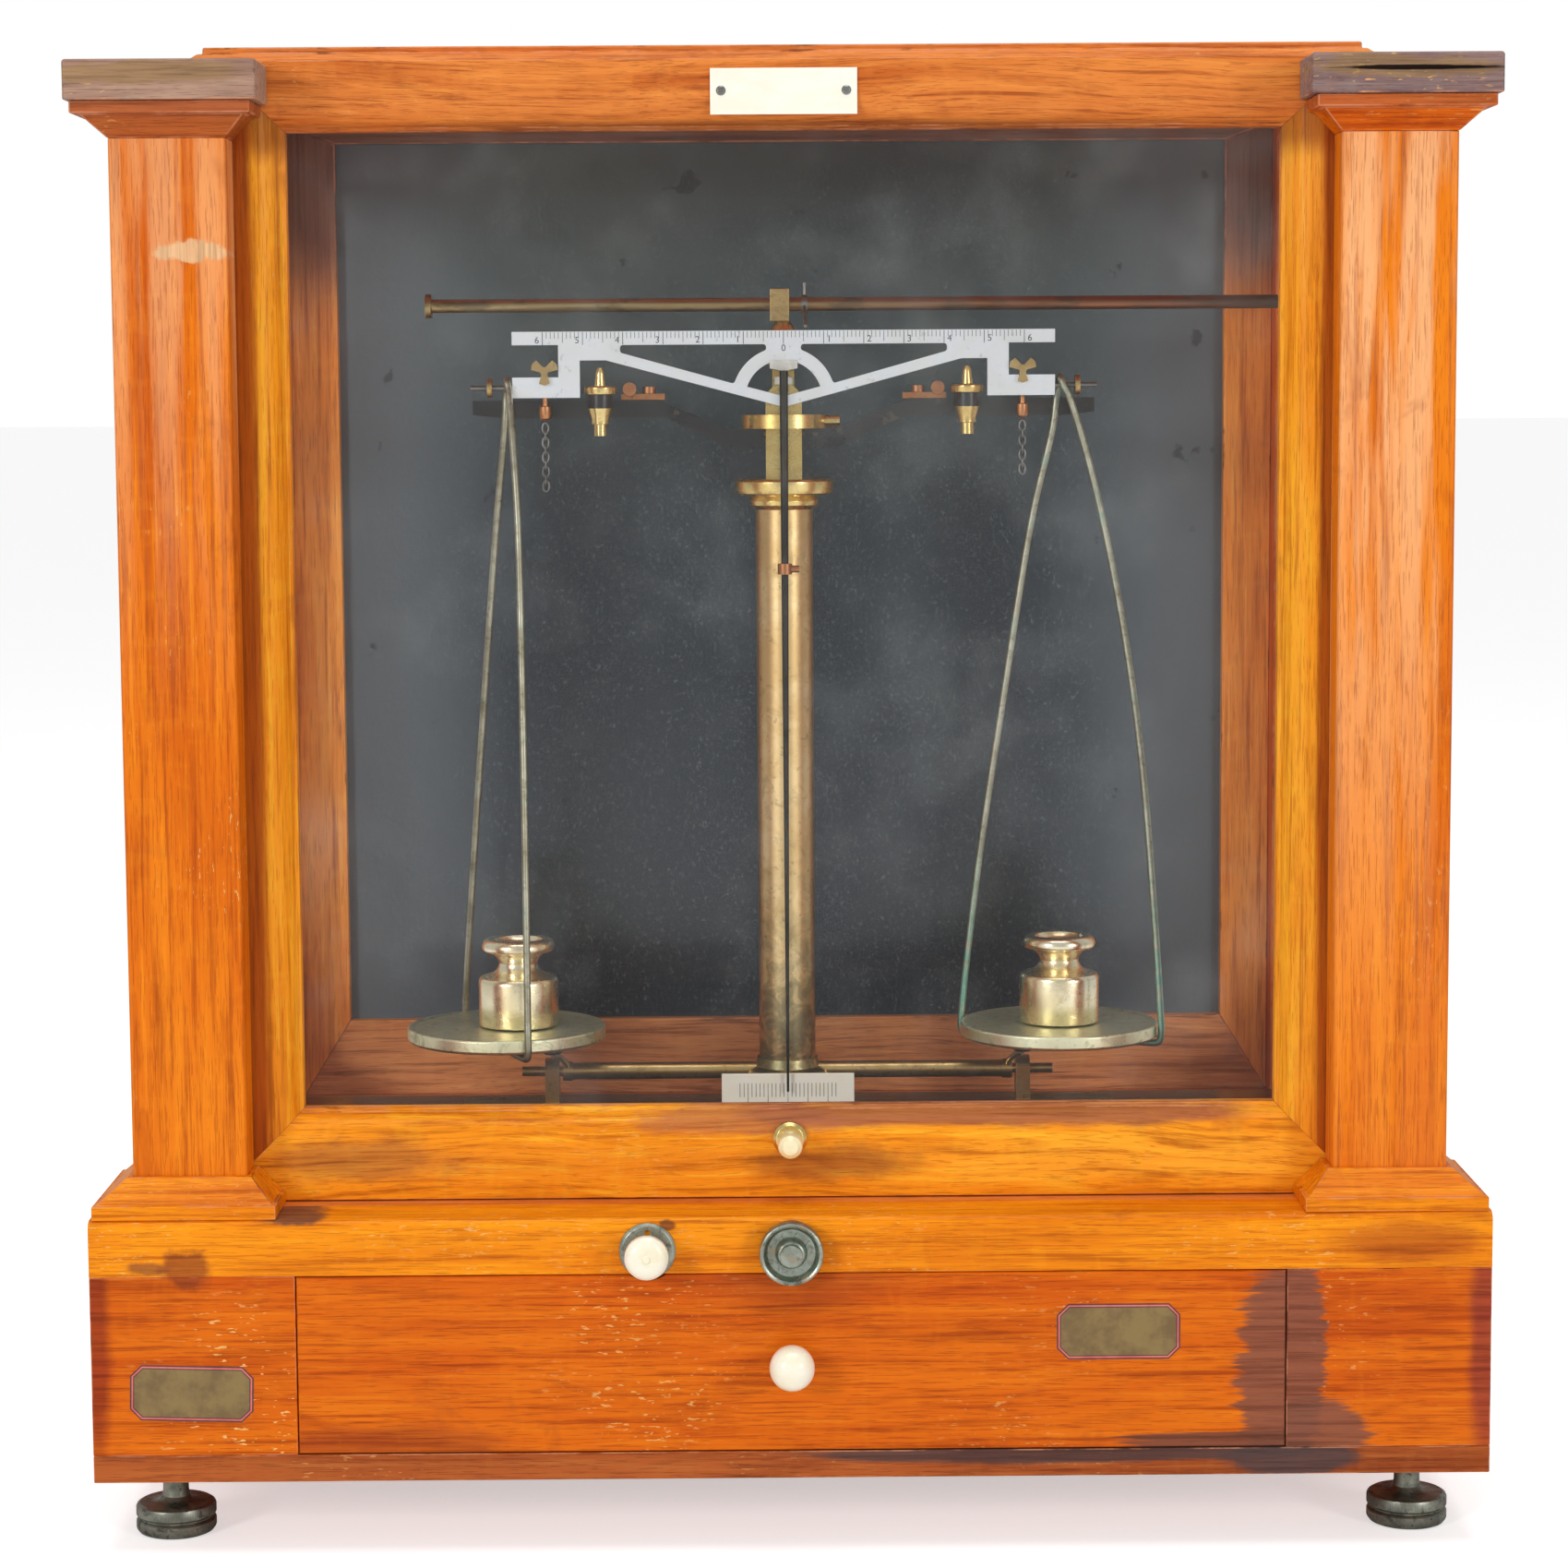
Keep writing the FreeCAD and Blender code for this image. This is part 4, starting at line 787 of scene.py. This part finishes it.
# ------------------------------------------------------------------ metal pieces carried over with softened edges
for n, mat, bw in (("column_foot", M_BRASS, 0.3), ("column_tube", M_BRASS, 0.0), ("column_cap", M_POLISH, 0.15), ("dome_nut", M_POLISH, 0.1),
                   ("rider_rod_bracket", M_BRASS2, 0.3), ("pan_arrest_brackets", M_BRASS2, 0.3), ("centre_knife", M_AGATE, 0.1),
                   ("knife_clamps", M_BRASS2, 0.12), ("end_pins", M_STEEL2, 0.1), ("pointer", M_BLUED, 0.0), ("pointer_collar", M_COPPER, 0.12),
                   ("balance_nut_left", M_BRASS2, 0.15), ("balance_nut_right", M_BRASS2, 0.15), ("arrest_arms", M_JAPAN, 0.4), ("arrest_collar", M_POLISH, 0.25),
                   ("arrest_rod", M_BRASS2, 0.1), ("pan_arrest_shaft", M_BRASS2, 0.1), ("pan_arrest_pads", M_JAPAN, 0.15), ("rider_rod", M_ROD, 0.3), ("rider_arm", M_STEEL2, 0.06)):
    split(n, None, mat, bw * MM)
for i, o in enumerate(split("beam_post", ["post", "agate"], None, 0.35 * MM)):
    o.data.materials.append(M_POLISH if i == 0 else M_AGATE)
for i, o in enumerate(split("spindle_bushes", ["button_plate", "rider_bush"], None, 0.2 * MM)):
    o.data.materials.append(M_KNOB if i == 0 else M_BRASS2)
for i, o in enumerate(split("arrest_supports", None, None, 0.15 * MM)):
    o.data.materials.append(M_POLISH if i % 3 < 2 else M_COPPER)

# ------------------------------------------------------------------ pans and weights
PAN = [(0, -4.6), (30.9, -4.6), (31.6, -4.3), (32.0, -3.7), (32.0, -0.6), (31.75, -0.15), (31.3, 0.0), (30.6, -0.05), (30.1, -0.35), (29.4, -0.45), (0, -0.45)]
for nm, x in (("pan_left", -91.0), ("pan_right", 88.0)):
    lathe(nm + ".turned", PAN, (x, dY(98.5), 145.0), "Z", nm, M_GREEN, seg=128)
WP = [(0, 0), (12.2, 0), (12.7, .25), (12.85, .7), (12.85, 14.3), (12.7, 15.1), (12.2, 15.75), (11.4, 16.1), (9.9, 16.5), (8.2, 17.2), (7.1, 18.1), (6.45, 19.2), (6.2, 20.3), (6.5, 21.3), (7.4, 22.6),
      (8.4, 23.4), (9.4, 23.85), (10.8, 24.15), (11.45, 24.6), (11.7, 25.4), (11.6, 26.4), (11.1, 27.4), (10.4, 28.0), (9.6, 28.2), (8.4, 28.2), (7.7, 28.0), (7.3, 27.2), (6.6, 26.5), (5.4, 26.25), (0, 26.2)]
for nm, x in (("weight_left", -87.0), ("weight_right", 88.0)):
    lathe(nm + ".turned", WP, (x, dY(98.5), 145.0), "Z", nm, M_WEIGHT, seg=112)

# ------------------------------------------------------------------ pan hangers: one bent wire each
LF = [(-87.9, 96.5, 351.7), (-87.6, 95.9, 350.0), (-87.2, 94.6, 347), (-85.6, 88.5, 330), (-84.2, 83, 308), (-83.0, 75.5, 250), (-82.4, 70, 195), (-82.15, 66.8, 150), (-82.1, 66.3, 141.2), (-82.5, 67.3, 139.3), (-85.5, 73, 139.1), (-88.0, 79.5, 139.1)]
LB = [(-88.1, 100.5, 351.7), (-88.2, 101.1, 350.0), (-88.6, 101.4, 347), (-89.2, 101.5, 337), (-92.5, 107, 308), (-98, 115.5, 250), (-102.8, 122.5, 195), (-106.4, 128.0, 150), (-106.7, 128.5, 141.2), (-106.1, 127.4, 139.3), (-104.5, 123.5, 139.1), (-102, 118.5, 139.1)]
RF = [(88.3, 96.5, 351.7), (88.9, 95.9, 350.0), (90.6, 95.6, 346.5), (95.2, 95.4, 332), (101.2, 94.4, 308), (108.4, 92.6, 270), (113.8, 91.2, 230), (117.6, 90.2, 185), (119.9, 89.5, 150), (120.1, 89.3, 141.2), (119.2, 89.4, 139.3), (113, 91, 139.1), (106, 92.5, 139.1)]
RB = [(87.9, 100.5, 351.7), (87.7, 101.1, 350.0), (87.2, 101.4, 347), (86.0, 101.5, 337), (79.6, 104.2, 308), (70.6, 107.3, 250), (62.6, 109.8, 195), (57.5, 111.4, 150), (57.0, 111.6, 141.2), (57.8, 111.3, 139.3), (62, 110, 139.1), (67, 108.6, 139.1)]
for nm, xt, F, B, mt in (("bow_left", -88, LF, LB, M_STEEL), ("bow_right", 88, RF, RB, M_STEEL_R)):
    pts = [Vector((x, dY(d), z)) * MM for x, d, z in reversed(F)] + [Vector((xt, dY(98.5), 352.55)) * MM] + [Vector((x, dY(d), z)) * MM for x, d, z in B]
    v, f = tube_data(catmull(pts, 7), 1.12 * MM, 16)
    o = obj_from(nm + ".wire", mesh_of(nm, v, f, sharp=60, dissolve=0), nm)
    o.data.materials.append(mt)
    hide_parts(nm)

# ------------------------------------------------------------------ nuts and hook chains
V0, F0 = [], []
chain_parts = []
for n, x in ((9, -76.0), (7, 76.0)):
    z = 339.5
    for i in range(n):
        cz = z - 2.31 - i * 2.3
        loop = []
        for k in range(20):
            a = 2 * math.pi * k / 20
            u, w = 0.98 * math.cos(a), 1.72 * math.sin(a)
            loop.append(Vector((x + (0 if i % 2 else u), dY(98.5) + (u if i % 2 else 0), cz + w)) * MM)
        chain_parts.append(tube_data(loop, 0.30 * MM, 8, closed=True))
v, f = join_data(chain_parts)
o = obj_from("hook_chains.links", mesh_of("hook_chains.links", v, f, sharp=80, dissolve=0), "hook_chains")
o.data.materials.append(M_STEEL2)
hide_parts("hook_chains")
NUT = [(0, 339.5), (1.0, 339.7), (1.7, 340.3), (1.95, 341.3), (2.0, 341.7), (2.0, 344.0), (1.8, 344.2), (0.9, 344.2), (0.9, 353.2), (0, 353.3)]
for nm, x in (("hook_chains.nut_left", -76.0), ("hook_chains.nut_right", 76.0)):
    lathe(nm, NUT, (x, dY(98.5), 0), "Z", "hook_chains", M_COPPER, seg=36, bevel=0)

# ------------------------------------------------------------------ beam with its engraved scale
split("beam_plate", ["casting"], M_ALU, 0.28 * MM, 3)
yf = dY(97.0) - 0.03
tick = []
PITCH = 12.76
for side in (-1, 1):
    for k in range(0, 61):
        x = side * k * PITCH / 10.0
        if side < 0 and k == 0:
            continue
        ln = 4.0 if k % 10 == 0 else (3.3 if k % 5 == 0 else 2.0)
        if k == 60:
            ln = 4.0
        hw = 0.11 if k % 10 == 0 else 0.08
        tick.append(box_data((x - hw) * MM, (x + hw) * MM, yf * MM, (yf + 0.05) * MM, (367.5 - ln) * MM, 367.5 * MM))
v, f = join_data(tick)
o = obj_from("beam_scale.ticks", mesh_of("beam_scale.ticks", v, f, dissolve=0), body="beam")
o.data.materials.append(M_INK2)


def text_mesh(txt, size, x, y, z):
    cu = bpy.data.curves.new("t_" + txt, "FONT")
    cu.body = txt
    cu.size = size
    cu.extrude = 0.02 * MM
    cu.resolution_u = 3
    cu.align_x = "CENTER"
    cu.align_y = "CENTER"
    ob = bpy.data.objects.new("t_" + txt, cu)
    COLL.objects.link(ob)
    bpy.context.view_layer.update()
    me = bpy.data.meshes.new_from_object(ob.evaluated_get(bpy.context.evaluated_depsgraph_get()))
    mt = Matrix.Translation((x, y, z)) @ Matrix.Rotation(math.radians(90), 4, "X")
    vs = [tuple(mt @ q.co) for q in me.vertices]
    fs = [tuple(p.vertices) for p in me.polygons]
    bpy.data.objects.remove(ob)
    bpy.data.curves.remove(cu)
    bpy.data.meshes.remove(me)
    return vs, fs


dig = []
for k in range(0, 7):
    for side in ((1,) if k == 0 else (-1, 1)):
        x = side * k * PITCH
        xx = x + (0.0 if k == 0 else side * 1.75)
        zz = 362.1 if k == 0 else 364.9
        if k == 6:
            xx = x + side * 1.75
        dig.append(text_mesh(str(k), 3.0 * MM, xx * MM, (yf + 0.01) * MM, zz * MM))
v, f = join_data(dig)
o = obj_from("beam_scale.numerals", mesh_of("beam_scale.numerals", v, f, dissolve=0, sharp=20), body="beam")
o.data.materials.append(M_INK2)

# ------------------------------------------------------------------ index plate
split("index_plate", ["ivory"], M_IVORY2, 0.25 * MM)
yi = dY(96.7) - 0.03
tick = []
for k in range(25):
    x = (k - 12) * 1.296
    z1 = 117.4 if k == 12 else (118.7 if k % 5 == 2 else 120.9)
    tick.append(box_data((x - 0.085) * MM, (x + 0.085) * MM, yi * MM, (yi + 0.05) * MM, z1 * MM, 125.4 * MM))
v, f = join_data(tick)
o = obj_from("index_plate.ticks", mesh_of("index_plate.ticks", v, f, dissolve=0), body="case")
o.data.materials.append(M_INK)

# ------------------------------------------------------------------ small screws
def screw(name, x, d, z, r, h, axis, body, mat, slotang=0.3):
    prof = [(0, 0), (r * 1.0, 0), (r * 0.98, h * 0.35), (r * 0.75, h * 0.8), (r * 0.4, h * 0.97), (0, h)]
    if axis == "Y":
        prof = [(p, -q) for p, q in prof]
    lathe(name, prof, (x, dY(d), z), axis, None, mat, seg=32, bevel=0, body=body)


screw("flange_screw.left", -11.4, 112.5, 126.9, 1.55, 1.3, "Z", "case", M_STEEL2)
screw("flange_screw.right", 11.4, 112.5, 126.9, 1.55, 1.3, "Z", "case", M_STEEL2)
screw("board_screw", -26.0, 92.0, 115.0, 1.7, 1.0, "Z", "case", M_JAPAN)


# ------------------------------------------------------------------ blank property labels
def label(name, cx, cz, body, turn=0.0, w=37.0, h=17.0):
    def octo(w, h, c, y):
        p = [(-w / 2 + c, -h / 2), (w / 2 - c, -h / 2), (w / 2, -h / 2 + c), (w / 2, h / 2 - c), (w / 2 - c, h / 2), (-w / 2 + c, h / 2), (-w / 2, h / 2 - c), (-w / 2, -h / 2 + c)]
        ca, sa = math.cos(turn), math.sin(turn)
        return [((cx + x * ca - z * sa) * MM, y * MM, (cz + x * sa + z * ca) * MM) for x, z in p]
    levels = [(w, h, 3.4, 0.0), (w, h, 3.4, -0.10), (w - 0.9, h - 0.9, 3.1, -0.12), (w - 1.8, h - 1.8, 2.8, -0.12), (w - 2.5, h - 2.5, 2.6, -0.12), (w - 3.2, h - 3.2, 2.4, -0.12)]
    V, F, mi = [], [], []
    for a, b, c, y in levels:
        V += octo(a, b, c, dY(0) + y)
    ringmat = [2, 2, 1, 2, 0]
    for L in range(len(levels) - 1):
        for k in range(8):
            a, b = L * 8 + k, L * 8 + (k + 1) % 8
            F.append((a, b, b + 8, a + 8))
            mi.append([2, 2, 1, 2, 0][L])
    F.append(tuple(range(40, 48)))
    mi.append(0)
    F.append(tuple(reversed(range(0, 8))))
    mi.append(2)
    me = bpy.data.meshes.new(name)
    me.from_pydata(V, [], F)
    for p, q in zip(me.polygons, mi):
        p.material_index = q
    o = obj_from(name, me, body=body)
    for mm in M_LABEL:
        o.data.materials.append(mm)
    return o


label("blank_label.base", -180.0, 50.4, "case", math.radians(-1.6))
label("blank_label.drawer", 98.0, 67.3, "drawer", 0.0)

# ------------------------------------------------------------------ floor, light, camera
me = bpy.data.meshes.new("floor")
me.from_pydata([(-30, -30, 0), (30, -30, 0), (30, 60, 0), (-30, 60, 0)], [], [(0, 1, 2, 3)])
floor = bpy.data.objects.new("floor", me)
COLL.objects.link(floor)
fm = Mat("floor_pale")
fn = fm.noise(fm.map(scale=(3, 3, 3)), 1.0, 3)
fm.done(fm.mix(fn, (0.90, 0.90, 0.90, 1), (0.94, 0.94, 0.94, 1)), 0.7)
ft = fm.m.node_tree
f_out = [n for n in ft.nodes if n.type == "OUTPUT_MATERIAL"][0]
f_surf = f_out.inputs[0].links[0].from_socket
f_lp = ft.nodes.new("ShaderNodeLightPath")
f_em = ft.nodes.new("ShaderNodeEmission")
f_em.inputs[1].default_value = 0.52
f_add = ft.nodes.new("ShaderNodeAddShader")
f_mix = ft.nodes.new("ShaderNodeMixShader")
ft.links.new(f_surf, f_add.inputs[0])
ft.links.new(f_em.outputs[0], f_add.inputs[1])
ft.links.new(f_lp.outputs["Is Camera Ray"], f_mix.inputs[0])
ft.links.new(f_surf, f_mix.inputs[1])
ft.links.new(f_add.outputs[0], f_mix.inputs[2])
ft.links.new(f_mix.outputs[0], f_out.inputs[0])
me.materials.append(fm.m)

world = bpy.data.worlds.new("studio")
bpy.context.scene.world = world
world.use_nodes = True
world.node_tree.nodes["Background"].inputs[0].default_value = (1, 1, 1, 1)
wt = world.node_tree
lp = wt.nodes.new("ShaderNodeLightPath")
b_cam = wt.nodes.new("ShaderNodeBackground")
b_cam.inputs[0].default_value = (1, 1, 1, 1)
b_cam.inputs[1].default_value = 1.0
b_all = wt.nodes["Background"]
b_all.inputs[1].default_value = 0.45
w_mix = wt.nodes.new("ShaderNodeMixShader")
wt.links.new(lp.outputs["Is Camera Ray"], w_mix.inputs[0])
wt.links.new(b_all.outputs[0], w_mix.inputs[1])
wt.links.new(b_cam.outputs[0], w_mix.inputs[2])
wt.links.new(w_mix.outputs[0], wt.nodes["World Output"].inputs[0])


def area(name, loc, target, size, power, col=(1, 1, 1), size_y=None):
    li = bpy.data.lights.new(name, "AREA")
    li.energy = power
    li.color = col
    li.shape = "RECTANGLE"
    li.size = size
    li.size_y = size_y or size
    ob = bpy.data.objects.new(name, li)
    ob.location = loc
    ob.rotation_euler = (Vector(target) - Vector(loc)).to_track_quat("-Z", "Y").to_euler()
    COLL.objects.link(ob)
    return ob


area("key", (-1.35, -1.75, 0.8), (0, 0, 0.25), 0.42, 14)
area("fill", (1.45, -1.75, 0.7), (0, 0, 0.25), 0.42, 11)
area("top", (0, -0.3, 2.2), (0, 0, 0.2), 1.4, 20)

bpy.context.scene.view_settings.view_transform = "Standard"

t, yw, ro = math.radians(5.942), math.radians(0.366), math.radians(0.353)
fwd = Vector((math.sin(yw) * math.cos(t), math.cos(yw) * math.cos(t), -math.sin(t)))
right = Vector((math.cos(yw), -math.sin(yw), 0))
up = right.cross(fwd)
R = right * math.cos(ro) - up * math.sin(ro)
U = up * math.cos(ro) + right * math.sin(ro)
cam_data = bpy.data.cameras.new("camera")
cam_data.lens = 84.31
cam_data.sensor_width = 36.0
cam = bpy.data.objects.new("camera", cam_data)
COLL.objects.link(cam)
mw = Matrix((
    (R.x, U.x, -fwd.x, -0.008192),
    (R.y, U.y, -fwd.y, -1.19005),
    (R.z, U.z, -fwd.z, 0.345136),
    (0, 0, 0, 1)))
cam.matrix_world = mw
bpy.context.scene.camera = cam
